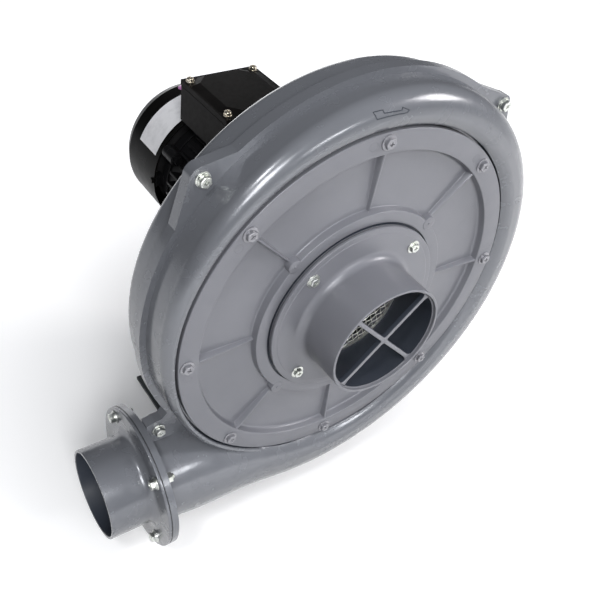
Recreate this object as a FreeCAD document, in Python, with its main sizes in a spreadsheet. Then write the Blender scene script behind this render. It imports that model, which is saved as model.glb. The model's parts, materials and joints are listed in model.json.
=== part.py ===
"""Centrifugal turbo blower: spiral aluminium casing, inlet and outlet spigots, finned motor, steel stand.

Lengths are in millimetres. Every sub-part is drawn about the shaft axis: X to the right as seen from
the inlet, Y along the shaft from the inlet to the motor, Z up. Y = 0 is the plane of the cover screws'
heads. One placement then carries a piece to the frame of the finished part, whose origin lies on the
floor at the centre of the stand's bolt pattern.
"""
import FreeCAD, Part

import math
import os

import Sketcher

Vector = FreeCAD.Vector
ALONG_SHAFT = Vector(0, 1, 0)
UP = Vector(0, 0, 1)
FRONT = -1
BACK = 1
SPIRAL_STEPS = 8
SPIRAL_DEGREE = 3

SIZES = {
    # Where the part stands
    "axis_height": 285.0,
    "foot_centre_depth": 156.5,
    # Spiral casing
    "parting_depth": 44.5,
    "casing_wall": 4.5,
    "spiral_start_angle": 205.0,
    "spiral_start_radius": 205.0,
    "spiral_growth_per_degree": 0.187,
    "lip_width": 6.0,
    "lip_thickness": 6.0,
    "rim_groove_radius": 197.0,
    "crown_depth": 2.8,
    "crown_rise": 8.0,
    "seat_depth": 11.5,
    "seat_thickness": 4.5,
    "seat_inner_radius": 178.5,
    "back_depth": 84.0,
    "back_corner": 11.0,
    "machined_back_step": 0.6,
    # Outlet duct
    "outlet_axis_drop": 190.8,
    "outlet_duct_radius": 56.0,
    "duct_end_offset": 190.0,
    "outlet_joint_offset": 217.0,
    "outlet_flange_radius": 79.6,
    "outlet_flange_thickness": 7.0,
    "outlet_bolt_circle": 68.7,
    "outlet_pipe_radius": 50.0,
    "outlet_pipe_wall": 3.2,
    "outlet_pipe_end_offset": 270.4,
    "outlet_adapter_thickness": 3.0,
    "outlet_gasket_thickness": 1.0,
    # Cover plate
    "cover_radius": 195.5,
    "cover_band_depth": 4.0,
    "cover_band_thickness": 6.0,
    "cover_step_radius": 173.5,
    "cover_floor_depth": 12.0,
    "cover_floor_thickness": 4.5,
    "cover_centre_radius": 111.7,
    "cover_opening_radius": 56.0,
    "cover_screw_circle": 185.4,
    "cover_gasket_thickness": 1.5,
    "rib_outer_width": 4.8,
    "rib_inner_width": 2.4,
    "boss_radius": 7.0,
    # Inlet pipe
    "inlet_pipe_radius": 62.5,
    "inlet_pipe_wall": 4.0,
    "inlet_mouth_depth": -53.5,
    "inlet_mouth_step": 3.5,
    "inlet_mouth_wall": 2.6,
    "inlet_flange_radius": 97.5,
    "inlet_flange_thickness": 5.0,
    "inlet_screw_circle": 84.9,
    "guard_bar_width": 4.2,
    "guard_bar_length": 5.0,
    "mesh_pitch": 6.4,
    "mesh_wire": 1.0,
    # Screws, bolts and nuts
    "small_screw_radius": 2.5,
    "small_head_radius": 5.3,
    "small_head_height": 3.0,
    "small_washer_radius": 7.3,
    "bolt_radius": 3.0,
    "bolt_head_radius": 5.6,
    "bolt_head_height": 4.0,
    "bolt_washer_radius": 7.2,
    "washer_thickness": 1.2,
    "nut_height": 5.0,
    "hole_clearance": 0.3,
    # Impeller
    "impeller_radius": 170.0,
    "impeller_eye_radius": 62.0,
    "impeller_back_depth": 62.0,
    "impeller_sheet": 2.0,
    "shroud_eye_depth": 15.0,
    "shroud_tip_depth": 34.0,
    "blade_thickness": 1.5,
    "blade_count": 10.0,
    "hub_radius": 21.0,
    "hub_flange_radius": 42.0,
    "hub_front_depth": 52.0,
    "hub_flange_thickness": 6.0,
    "hub_length": 22.0,
    # Shaft and bearings
    "shaft_radius": 9.5,
    "shaft_front_depth": 50.0,
    "bearing_bore_radius": 10.0,
    "bearing_radius": 23.5,
    "bearing_width": 14.0,
    "front_bearing_depth": 102.0,
    "rear_bearing_depth": 262.0,
    "shaft_end_depth": 330.0,
    "fan_shaft_radius": 8.0,
    "running_gap": 0.4,
    "key_width": 6.0,
    # Motor
    "motor_face_depth": 88.0,
    "motor_flange_radius": 100.0,
    "motor_flange_thickness": 11.0,
    "motor_spigot_radius": 65.0,
    "motor_spigot_length": 3.5,
    "motor_bolt_circle": 82.5,
    "motor_bolt_radius": 5.0,
    "frame_front_depth": 116.0,
    "frame_rear_depth": 276.0,
    "frame_bore_radius": 60.0,
    "frame_wall": 5.0,
    "fin_tip_radius": 75.0,
    "fin_thickness": 2.6,
    "fin_count": 36.0,
    "foot_bolt_half_width": 62.5,
    "foot_bolt_front_depth": 138.0,
    "foot_bolt_spacing": 100.0,
    "motor_centre_height": 80.0,
    "foot_thickness": 9.0,
    "tie_bolt_circle": 73.4,
    "tie_bolt_angle": 33.0,
    "tie_lug_radius": 8.2,
    "stator_length": 90.0,
    "stator_front_depth": 150.0,
    "stator_bore_radius": 36.0,
    "air_gap": 0.5,
    "winding_overhang": 20.0,
    # Fan cowl
    "cowl_radius": 78.0,
    "cowl_front_depth": 288.0,
    "cowl_rear_depth": 372.0,
    "cowl_wall": 1.6,
    "cowl_corner": 16.0,
    "fan_radius": 66.0,
    # Terminal box
    "box_half_width": 46.0,
    "box_front_depth": 187.5,
    "box_rear_depth": 285.5,
    "box_floor_height": 76.0,
    "box_rim_height": 116.0,
    "box_wall": 3.2,
    "lid_thickness": 6.0,
    "lid_plateau": 3.0,
    "lid_screw_half_width": 39.9,
    "lid_screw_inset": 8.8,
    "box_gasket_thickness": 1.0,
    # Stand
    "stand_plate": 5.0,
    "stand_foot_half_width": 123.0,
    "stand_wall_foot_half_width": 92.0,
    "stand_wall_top_half_width": 82.0,
    "stand_front_depth": 60.0,
    "stand_top_front_depth": 104.0,
    "stand_rear_depth": 253.0,
    "stand_bolt_half_width": 108.0,
    "stand_bolt_spacing": 140.0,
    "stand_hole_radius": 5.5,
    "cowl_screw_radius": 1.9,
}


class Size:
    """A length that keeps both its number and the expression that ties it to the sheet."""

    def __init__(self, number, text):
        self.number = number
        self.text = text

    def __add__(self, other):
        other = as_size(other)
        return Size(self.number + other.number, f"({self.text} + {other.text})")

    def __sub__(self, other):
        other = as_size(other)
        return Size(self.number - other.number, f"({self.text} - {other.text})")

    def __mul__(self, factor):
        other = as_size(factor)
        return Size(self.number * other.number, f"({self.text} * {other.text})")

    def __truediv__(self, factor):
        other = as_size(factor)
        return Size(self.number / other.number, f"({self.text} / {other.text})")

    def __neg__(self):
        return Size(-self.number, f"(0 - {self.text})")

    def __float__(self):
        return float(self.number)


def as_size(value):
    """Give a plain number the same two faces as a sheet size."""
    if isinstance(value, Size):
        return value
    return Size(float(value), f"{float(value):.9f}")


class Sheet:
    """The sheet of driving dimensions, whose sizes are read as attributes."""

    def __init__(self, doc):
        self._sheet = doc.addObject("Spreadsheet::Sheet", "Sizes")
        for row, (alias, number) in enumerate(SIZES.items(), start=1):
            self._sheet.set(f"A{row}", alias)
            self._sheet.set(f"B{row}", str(number))
            self._sheet.setAlias(f"B{row}", alias)
        doc.recompute()

    def __getattr__(self, alias):
        return Size(float(SIZES[alias]), f"Sizes.{alias}")


DOC = FreeCAD.newDocument("TurboBlower")
d = Sheet(DOC)


# Placing

def carry_to_frame(item, x=0.0, y=0.0, z=0.0, rotation=None):
    """Move a sub-part from the shaft's own frame to the frame of the finished part."""
    x, y, z = as_size(x), as_size(y) - d.foot_centre_depth, as_size(z) + d.axis_height
    turn = rotation or FreeCAD.Rotation()
    item.Placement = FreeCAD.Placement(Vector(x.number, y.number, z.number), turn)
    item.setExpression("Placement.Base.x", x.text)
    item.setExpression("Placement.Base.y", y.text)
    item.setExpression("Placement.Base.z", z.text)


def shaped(name, shape):
    """Make a sub-part from a shape that no sketch or primitive gives."""
    item = DOC.addObject("Part::Feature", name)
    item.Label = name
    item.Shape = shape
    carry_to_frame(item)
    return item


def polar(radius, degrees, depth=0.0):
    """Point at a radius and angle about the shaft, 0 degrees to the right and 90 degrees up."""
    angle = math.radians(degrees)
    return Vector(float(radius) * math.cos(angle), float(depth), float(radius) * math.sin(angle))


def ring_places(count, radius, first=0.0):
    """Centres evenly spaced on a circle, as pairs of sizes across and up."""
    places = []
    for index in range(count):
        angle = math.radians(first + 360.0 * index / count)
        places.append((radius * math.cos(angle), radius * math.sin(angle)))
    return places


# Sketches and features of a body

def new_body(name, **place):
    """Start a sub-part made of sketched features."""
    body = DOC.addObject("PartDesign::Body", name)
    body.Label = name
    carry_to_frame(body, **place)
    return body


def sketch_on(body, plane_role, offset=None):
    """Attach a sketch to one of the body's own origin planes, moved along its normal if asked."""
    plane = [item for item in body.Origin.OriginFeatures if item.Role == plane_role][0]
    sketch = body.newObject("Sketcher::SketchObject", f"{body.Name}_sketch")
    sketch.AttachmentSupport = [(plane, "")]
    sketch.MapMode = "FlatFace"
    if offset is not None:
        offset = as_size(offset)
        sketch.AttachmentOffset = FreeCAD.Placement(Vector(0, 0, offset.number), FreeCAD.Rotation())
        sketch.setExpression("AttachmentOffset.Base.z", offset.text)
    return sketch


def hold(sketch, kind, geometry, point, value):
    """Fix one coordinate or radius of a drawn element to a size."""
    value = as_size(value)
    if kind == "Radius":
        index = sketch.addConstraint(Sketcher.Constraint(kind, geometry, value.number))
    else:
        index = sketch.addConstraint(Sketcher.Constraint(kind, geometry, point, value.number))
    sketch.setExpression(f"Constraints[{index}]", value.text)


def draw_outline(sketch, corners):
    """Draw a closed outline of straight lines through the given corners."""
    corners = [(as_size(u), as_size(v)) for u, v in corners]
    spots = [Vector(u.number, v.number, 0) for u, v in corners]
    first = sketch.GeometryCount
    count = len(spots)
    for index in range(count):
        sketch.addGeometry(Part.LineSegment(spots[index], spots[(index + 1) % count]), False)
    for index in range(count):
        following = first + (index + 1) % count
        sketch.addConstraint(Sketcher.Constraint("Coincident", first + index, 2, following, 1))
    for index, (u, v) in enumerate(corners):
        hold(sketch, "DistanceX", first + index, 1, u)
        hold(sketch, "DistanceY", first + index, 1, v)


def draw_circle(sketch, u, v, radius):
    """Draw one circle held by its centre and radius."""
    u, v, radius = as_size(u), as_size(v), as_size(radius)
    centre = Vector(u.number, v.number, 0)
    index = sketch.addGeometry(Part.Circle(centre, Vector(0, 0, 1), radius.number), False)
    hold(sketch, "DistanceX", index, 3, u)
    hold(sketch, "DistanceY", index, 3, v)
    hold(sketch, "Radius", index, 0, radius)


def bind(item, name, value):
    """Set a feature's size and tie it to the sheet."""
    value = as_size(value)
    setattr(item, name, value.number)
    item.setExpression(name, value.text)


def revolve(body, corners, subtract=False):
    """Turn an outline of radius and depth pairs about the shaft."""
    sketch = sketch_on(body, "XY_Plane")
    draw_outline(sketch, corners)
    kind = "PartDesign::Groove" if subtract else "PartDesign::Revolution"
    feature = body.newObject(kind, f"{body.Name}_turn")
    feature.Profile = sketch
    feature.ReferenceAxis = (sketch, ["V_Axis"])
    feature.Angle = 360.0
    DOC.recompute()
    return feature


def pad(body, draw, front, length):
    """Raise what draw puts on the sketch, from a depth towards the motor."""
    sketch = sketch_on(body, "XZ_Plane", -as_size(front))
    draw(sketch)
    feature = body.newObject("PartDesign::Pad", f"{body.Name}_pad")
    feature.Profile = sketch
    feature.Reversed = True
    bind(feature, "Length", length)
    DOC.recompute()
    return feature


def pocket(body, draw, front, length):
    """Sink what draw puts on the sketch, from a depth towards the motor, and see that it cuts."""
    before = body.Shape.Volume
    sketch = sketch_on(body, "XZ_Plane", -as_size(front))
    draw(sketch)
    feature = body.newObject("PartDesign::Pocket", f"{body.Name}_pocket")
    feature.Profile = sketch
    bind(feature, "Length", length)
    DOC.recompute()
    if not body.Shape.Volume < before - 1e-6:
        raise ValueError(f"{body.Name}: a pocket removes nothing")
    return feature


def circles(places, radius):
    """Drawing step that puts equal circles on a sketch."""
    def draw(sketch):
        for u, v in places:
            draw_circle(sketch, u, v, radius)
    return draw


def outline(corners):
    """Drawing step that puts one closed outline on a sketch."""
    def draw(sketch):
        draw_outline(sketch, corners)
    return draw


def repeat_round(body, features, count):
    """Repeat features evenly about the shaft."""
    pattern = body.newObject("PartDesign::PolarPattern", f"{body.Name}_pattern")
    pattern.Originals = features
    axis = [item for item in body.Origin.OriginFeatures if item.Role == "Y_Axis"][0]
    pattern.Axis = (axis, [""])
    pattern.Angle = 360.0
    pattern.Occurrences = int(count)
    body.Tip = pattern
    DOC.recompute()
    return pattern


# Spiral casing

def straight(start, end):
    """Edge along a line."""
    return Part.LineSegment(start, end).toShape()


class Station:
    """One cross-section of half the spiral duct, drawn in the plane that holds it.

    The profile starts at the inner end, climbs to the crown, rolls over to the shoulder, follows the
    outer wall to the parting plane and closes along that plane.
    """

    def __init__(self, at, inner, inner_depth, crown, crown_depth, shoulder, shoulder_depth, wall):
        self.at = at
        self.inner = (float(inner), float(inner_depth))
        self.crown = (float(crown), float(crown_depth))
        self.shoulder = (float(shoulder), float(shoulder_depth))
        self.wall = (float(wall), float(d.parting_depth))

    def corner(self, start, end, start_along_depth):
        """Rounded corner between two profile points, bulging as a quarter of an ellipse does."""
        across, along = end[0] - start[0], end[1] - start[1]
        near, far = 1.0 - math.cos(math.pi / 4), math.sin(math.pi / 4)
        if start_along_depth:
            middle = (start[0] + near * across, start[1] + far * along)
        else:
            middle = (start[0] + far * across, start[1] + near * along)
        return Part.Arc(self.at(*start), self.at(*middle), self.at(*end)).toShape()

    def wire(self):
        """Closed outline of the section."""
        foot = (self.inner[0], self.wall[1])
        edges = [
            self.corner(self.inner, self.crown, True),
            self.corner(self.crown, self.shoulder, False),
            straight(self.at(*self.shoulder), self.at(*self.wall)),
            straight(self.at(*self.wall), self.at(*foot)),
            straight(self.at(*foot), self.at(*self.inner)),
        ]
        return Part.Wire(edges)


def wall_radius(degrees):
    """Outer wall of the spiral at an angle, which grows clockwise from the tongue."""
    travelled = float(d.spiral_start_angle) - degrees
    return float(d.spiral_start_radius) + float(d.spiral_growth_per_degree) * travelled


def progress(degrees):
    """Share of the spiral that lies behind an angle."""
    start = float(d.spiral_start_angle)
    return (start - degrees) / (start + 90.0)


def around(degrees):
    """Turn profile radius and depth into a point of the radial plane at an angle."""
    return lambda radius, depth: polar(radius, degrees, depth)


def below(offset):
    """Turn profile radius and depth into a point of the upright plane left of the shaft."""
    return lambda radius, depth: Vector(-offset, depth, -radius)


def front_spiral(at, degrees, skin):
    """Front half section of the spiral; skin is 0 outside and the wall's thickness inside."""
    wall = wall_radius(degrees) - skin
    groove = float(d.rim_groove_radius) + 0.4 * skin
    share = progress(degrees)
    crown = groove + 0.38 * (wall - groove)
    crown_depth = float(d.crown_depth) - float(d.crown_rise) * share ** 3 + skin * (1.9 - 0.9 * share)
    inner_depth = crown_depth + 2.7 + 8.0 * share ** 3 + 1.2 * skin
    shoulder_depth = crown_depth + 6.0 + 0.75 * (wall - crown)
    return Station(at, groove, inner_depth, crown, crown_depth, wall - 1.0, shoulder_depth, wall)


def back_spiral(at, degrees, skin):
    """Back half section of the spiral: a straight wall, a rounded corner and a flat back."""
    wall = wall_radius(degrees) - skin
    back = float(d.back_depth) - skin
    corner = float(d.back_corner) - 0.5 * skin
    inner = float(d.rim_groove_radius) - 12.0
    return Station(at, inner, back - 0.6, wall - corner, back, wall - 0.6, back - corner, wall)


def outlet_section(at, side, skin):
    """Half circle where the duct has become round."""
    radius = float(d.outlet_duct_radius) - skin
    drop = float(d.outlet_axis_drop)
    parting = float(d.parting_depth)
    crown_depth = parting + side * radius
    edge_depth = parting + side * 1.0
    return Station(at, drop - radius, edge_depth, drop, crown_depth, drop + radius, edge_depth, drop + radius)


def blend_stations(at, first, last, share):
    """Section part of the way from one to another, eased at both ends."""
    eased = share * share * (3.0 - 2.0 * share)

    def mix(one, other):
        return one + (other - one) * eased

    numbers = []
    for name in ("inner", "crown", "shoulder"):
        for axis in (0, 1):
            numbers.append(mix(getattr(first, name)[axis], getattr(last, name)[axis]))
    return Station(at, *numbers, mix(first.wall[0], last.wall[0]))


def spiral_solid(side, skin, start_angle):
    """Half of the spiral duct as one lofted solid, from an angle at the tongue to the outlet."""
    section = front_spiral if side == FRONT else back_spiral
    stations = []
    for index in range(SPIRAL_STEPS + 1):
        degrees = start_angle + (-90.0 - start_angle) * index / SPIRAL_STEPS
        stations.append(section(around(degrees), degrees, skin))
    turned = section(below(0.0), -90.0, skin)
    end = float(d.duct_end_offset)
    round_end = outlet_section(below(end), side, skin)
    for share in (1.0 / 3.0, 2.0 / 3.0):
        stations.append(blend_stations(below(end * share), turned, round_end, share))
    stations.append(round_end)
    return Part.makeLoft([station.wire() for station in stations], True, False, False, SPIRAL_DEGREE)


def outlet_stub(side, skin, reach):
    """Half of the round neck between the end of the spiral duct and its flange."""
    end = float(d.duct_end_offset)
    face = outlet_section(below(end), side, skin).wire()
    return Part.Face(face).extrude(Vector(end - reach, 0, 0))


def cylinder(radius, front, rear, at=None):
    """Solid cylinder along the shaft between two depths."""
    centre = at or Vector(0, 0, 0)
    base = Vector(centre.x, float(front), centre.z)
    return Part.makeCylinder(float(radius), float(rear) - float(front), base, ALONG_SHAFT)


def tongue_ring():
    """The narrow ring that closes the circle between the tongue and the duct, outside surface."""
    start = float(d.spiral_start_angle)
    face = Part.Face(front_spiral(around(start), start, 0.0).wire())
    return face.revolve(Vector(0, 0, 0), ALONG_SHAFT, -80.0)


def slab(corners, front, rear):
    """Flat solid with straight sides between two depths."""
    spots = [Vector(x, float(front), z) for x, z in corners]
    face = Part.Face(Part.makePolygon(spots + spots[:1]))
    return face.extrude(Vector(0, float(rear) - float(front), 0))


def lip_outline(front, rear):
    """Spiral sheet that reaches to the edge of the joint lip, with the duct's own lip."""
    reach = float(d.lip_width)
    start = float(d.spiral_start_angle)
    steps = 20
    curve_points = []
    for index in range(steps + 1):
        degrees = start + (-90.0 - start) * index / steps
        curve_points.append(polar(wall_radius(degrees) + reach, degrees, front))
    curve = Part.BSplineCurve()
    curve.interpolate(curve_points)
    flange = float(d.outlet_joint_offset) - float(d.outlet_flange_thickness) / 2
    drop = float(d.outlet_axis_drop)
    half = float(d.outlet_duct_radius) + reach
    corners = [
        curve_points[-1],
        Vector(-float(d.duct_end_offset), float(front), -(drop + half)),
        Vector(-flange, float(front), -(drop + half)),
        Vector(-flange, float(front), -(drop - half)),
        Vector(0, float(front), -(drop - half)),
        Vector(0, float(front), 0),
        curve_points[0],
    ]
    edges = [curve.toShape()]
    for here, there in zip(corners[:-1], corners[1:]):
        edges.append(straight(here, there))
    sheet = Part.Face(Part.Wire(edges)).extrude(Vector(0, float(rear) - float(front), 0))
    return sheet.fuse(cylinder(float(d.spiral_start_radius) + reach, front, rear))


class Lug:
    """A lug on the joint lip: its bolt's angle and distance from the lip, its spread and its tip."""

    def __init__(self, degrees, reach, left, right, tip):
        self.degrees = degrees
        self.reach = reach
        self.left = left
        self.right = right
        self.tip = tip

    def centre(self):
        """Centre of the bolt, at depth 0."""
        return polar(wall_radius(self.degrees) + float(d.lip_width) + self.reach, self.degrees)

    def root(self, turn):
        """Point on the edge of the lip where one side of the lug begins."""
        degrees = self.degrees + turn
        return polar(wall_radius(degrees) + float(d.lip_width), degrees)


LUGS = (
    Lug(degrees=132.9, reach=7.8, left=12.1, right=8.9, tip=12.0),
    Lug(degrees=43.7, reach=3.5, left=10.3, right=6.0, tip=9.5),
    Lug(degrees=-45.0, reach=6.0, left=9.0, right=9.0, tip=12.0),
)
OUTLET_LUG = (-197.0, -118.0)


def lug_centres():
    """Centres of the bolts that hold the two half casings together, as points at depth 0."""
    centres = [lug.centre() for lug in LUGS]
    centres.append(Vector(OUTLET_LUG[0], 0, OUTLET_LUG[1]))
    return centres


def lug_web(lug, front, rear):
    """Triangular lug with a rounded tip, tangent to the lip on both sides of its bolt."""
    centre = lug.centre()
    across = polar(0.62 * lug.tip, lug.degrees + 90.0)
    outward = polar(0.78 * lug.tip, lug.degrees)
    base = polar(wall_radius(lug.degrees) - 8.0, lug.degrees)
    spots = (base, lug.root(lug.left), centre + across + outward, centre - across + outward,
             lug.root(-lug.right))
    web = slab([(spot.x, spot.z) for spot in spots], front, rear)
    return web.fuse(cylinder(lug.tip, front, rear, centre))


def outlet_lug(front, rear):
    """Corner web between the outlet flange and the ring, which carries the fourth bolt."""
    x, z = OUTLET_LUG
    flange = -(float(d.outlet_joint_offset) - float(d.outlet_flange_thickness))
    spots = [(flange, z + 11.0), (x - 3.0, z + 13.5), (x + 4.0, z + 14.0), (x + 10.0, z + 21.0),
             (x + 32.0, z + 21.0), (x + 48.0, z - 22.0), (flange, z - 22.0)]
    return slab(spots, front, rear)


def joint_lip(side):
    """The lip of one half casing with its lugs."""
    parting = float(d.parting_depth)
    front = parting - float(d.lip_thickness) if side == FRONT else parting
    rear = front + float(d.lip_thickness)
    sheet = lip_outline(front, rear)
    for lug in LUGS:
        sheet = sheet.fuse(lug_web(lug, front, rear))
    return sheet.fuse(outlet_lug(front, rear))


def half_outlet_flange(side):
    """Half of the round flange at the end of the casing's duct."""
    joint = float(d.outlet_joint_offset)
    thickness = float(d.outlet_flange_thickness)
    radius = float(d.outlet_flange_radius)
    base = Vector(-joint, float(d.parting_depth), -float(d.outlet_axis_drop))
    disc = Part.makeCylinder(radius, thickness, base, Vector(1, 0, 0))
    half_width = radius + 1.0
    corner = Vector(-joint - 1.0, base.y if side == BACK else base.y - half_width, base.z - half_width)
    half_space = Part.makeBox(thickness + 2.0, half_width, 2 * half_width, corner)
    return disc.common(half_space)


def outlet_bolt_centres():
    """Centres of the outlet's four bolts, as points of the joint plane."""
    centres = []
    for index in range(4):
        angle = math.radians(45.0 + 90.0 * index)
        radius = float(d.outlet_bolt_circle)
        depth = float(d.parting_depth) + radius * math.cos(angle)
        height = -float(d.outlet_axis_drop) + radius * math.sin(angle)
        centres.append(Vector(-float(d.outlet_joint_offset), depth, height))
    return centres


def outlet_bolt_holes():
    """Holes through the outlet flange."""
    radius = float(d.bolt_radius) + float(d.hole_clearance)
    length = 4 * float(d.outlet_flange_thickness)
    holes = []
    for centre in outlet_bolt_centres():
        base = centre - Vector(length / 2, 0, 0)
        holes.append(Part.makeCylinder(radius, length, base, Vector(1, 0, 0)))
    return holes


def lug_bolt_holes():
    """Holes through the lugs of both half casings."""
    radius = float(d.bolt_radius) + float(d.hole_clearance)
    parting = float(d.parting_depth)
    reach = 2 * float(d.lip_thickness)
    return [cylinder(radius, parting - reach, parting + reach, centre) for centre in lug_centres()]


def fused(solids):
    """Join overlapping solids into one."""
    whole = solids[0]
    for solid in solids[1:]:
        whole = whole.fuse(solid)
    return whole


def cut_all(whole, tools):
    """Take several solids away."""
    for tool in tools:
        whole = whole.cut(tool)
    return whole


def largest_solid(shape):
    """The one solid that a chain of joins and cuts is meant to leave."""
    return max(shape.Solids, key=lambda solid: solid.Volume)


def front_shell():
    """Front half casing: spiral ring, cover seat, joint lip, lugs and half of the outlet duct."""
    skin = float(d.casing_wall)
    start = float(d.spiral_start_angle)
    seat = float(d.seat_depth)
    seat_back = seat + float(d.seat_thickness)
    parting = float(d.parting_depth)
    groove = float(d.rim_groove_radius)
    joint = float(d.outlet_joint_offset)
    outside = fused([
        spiral_solid(FRONT, 0.0, start),
        tongue_ring(),
        outlet_stub(FRONT, 0.0, joint),
        cylinder(groove + 3.0, seat, parting),
        joint_lip(FRONT),
        half_outlet_flange(FRONT),
    ])
    opened = cut_all(outside, [
        cylinder(groove - 0.6, -60.0, seat),
        cylinder(float(d.seat_inner_radius), -60.0, parting + 1.0),
        cylinder(float(d.spiral_start_radius) - skin - 0.1, seat_back, parting + 1.0),
        spiral_solid(FRONT, skin, start - 20.0),
        outlet_stub(FRONT, skin, joint + 1.0),
    ])
    screw = float(d.small_screw_radius)
    circle = d.cover_screw_circle
    bosses = []
    holes = []
    for x, z in ring_places(8, circle):
        centre = Vector(float(x), 0, float(z))
        bosses.append(cylinder(screw + 3.5, seat_back - 0.5, seat_back + 9.0, centre))
        holes.append(cylinder(screw, seat - 1.0, seat_back + 7.5, centre))
    whole = fused([opened] + bosses)
    whole = cut_all(whole, holes + lug_bolt_holes() + outlet_bolt_holes())
    return shaped("front_shell", largest_solid(whole))


def back_shell():
    """Back half casing: flat back with the motor seat, joint lip, lugs and half of the outlet duct."""
    skin = float(d.casing_wall)
    start = float(d.spiral_start_angle)
    parting = float(d.parting_depth)
    back = float(d.back_depth)
    joint = float(d.outlet_joint_offset)
    ring = float(d.spiral_start_radius)
    face = float(d.motor_face_depth)
    ring_wall = back_spiral(around(start), start, 0.0).wire()
    ring_room = back_spiral(around(start), start, skin).wire()
    outside = fused([
        spiral_solid(BACK, 0.0, start),
        Part.Face(ring_wall).revolve(Vector(0, 0, 0), ALONG_SHAFT, -80.0),
        outlet_stub(BACK, 0.0, joint),
        cylinder(ring - 13.0, parting, back + float(d.machined_back_step)),
        cylinder(float(d.motor_flange_radius) + 4.0, back, face),
        joint_lip(BACK),
        half_outlet_flange(BACK),
    ])
    whole = cut_all(outside, [
        cylinder(ring - 13.0, parting - 1.0, back - skin),
        Part.Face(ring_room).revolve(Vector(0, 0, 0), ALONG_SHAFT, -80.0),
        spiral_solid(BACK, skin, start),
        outlet_stub(BACK, skin, joint + 1.0),
        cylinder(float(d.motor_spigot_radius) + 0.1, parting, face + 1.0),
    ])
    bolt = float(d.motor_bolt_radius)
    holes = []
    for x, z in ring_places(4, d.motor_bolt_circle, 45.0):
        holes.append(cylinder(bolt, back - skin - 1.0, face + 1.0, Vector(float(x), 0, float(z))))
    whole = cut_all(whole, holes + lug_bolt_holes() + outlet_bolt_holes())
    return shaped("back_shell", largest_solid(whole))


# Cover and inlet

def cover_plate():
    """Dished cover: raised band and centre, recessed floor, eight tapered ribs and four bosses."""
    body = new_body("cover_plate")
    band_back = d.cover_band_depth + d.cover_band_thickness
    floor_back = d.cover_floor_depth + d.cover_floor_thickness
    revolve(body, [
        (d.cover_opening_radius, d.cover_band_depth),
        (d.cover_centre_radius, d.cover_band_depth),
        (d.cover_centre_radius + 2.0, d.cover_floor_depth),
        (d.cover_step_radius - 2.0, d.cover_floor_depth),
        (d.cover_step_radius, d.cover_band_depth),
        (d.cover_radius - 0.8, d.cover_band_depth),
        (d.cover_radius, d.cover_band_depth + 0.8),
        (d.cover_radius, band_back),
        (d.cover_step_radius + 2.5, band_back),
        (d.cover_step_radius + 1.0, floor_back),
        (d.cover_centre_radius - 2.0, floor_back),
        (d.cover_centre_radius - 4.0, band_back),
        (d.cover_opening_radius, band_back),
    ])
    outer = sketch_on(body, "YZ_Plane", d.cover_step_radius - 0.2)
    draw_rib_section(outer, d.cover_band_depth + 0.5, d.rib_outer_width)
    inner = sketch_on(body, "YZ_Plane", d.cover_centre_radius + 0.6)
    draw_rib_section(inner, d.cover_band_depth + 4.0, d.rib_inner_width)
    rib = body.newObject("PartDesign::AdditiveLoft", "cover_rib")
    rib.Profile = outer
    rib.Sections = [inner]
    rib.Ruled = True
    DOC.recompute()
    repeat_round(body, [rib], 8)
    boss_front = d.cover_band_depth - 0.5
    boss_places = ring_places(4, d.cover_centre_radius, 45.0)
    pad(body, circles(boss_places, d.boss_radius), boss_front, floor_back - boss_front - 1.0)
    clear = d.small_screw_radius + d.hole_clearance
    pocket(body, circles(ring_places(8, d.cover_screw_circle), clear), d.cover_band_depth - 1.0,
           d.cover_band_thickness + 2.0)
    pocket(body, circles(ring_places(4, d.inlet_screw_circle, 45.0), d.small_screw_radius),
           d.cover_band_depth - 1.0, d.cover_band_thickness + 2.0)
    return body


def draw_rib_section(sketch, top, width):
    """Section of a cover rib: narrow at the top and sunk a little into the floor."""
    foot = d.cover_floor_depth + 1.0
    half = width / 2
    crest = half * 0.38
    draw_outline(sketch, [(foot, -half), (foot, half), (top, crest), (top, -crest)])


def cover_gasket():
    """Flat ring between the cover's band and its seat."""
    body = new_body("cover_gasket")
    front = d.cover_band_depth + d.cover_band_thickness
    rear = front + d.cover_gasket_thickness
    inner = d.seat_inner_radius + 0.5
    outer = d.cover_radius - 0.5
    revolve(body, [(inner, front), (outer, front), (outer, rear), (inner, rear)])
    hole = d.small_screw_radius + d.hole_clearance
    pocket(body, circles(ring_places(8, d.cover_screw_circle), hole), front - 1.0, 4.0)
    return body


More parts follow.
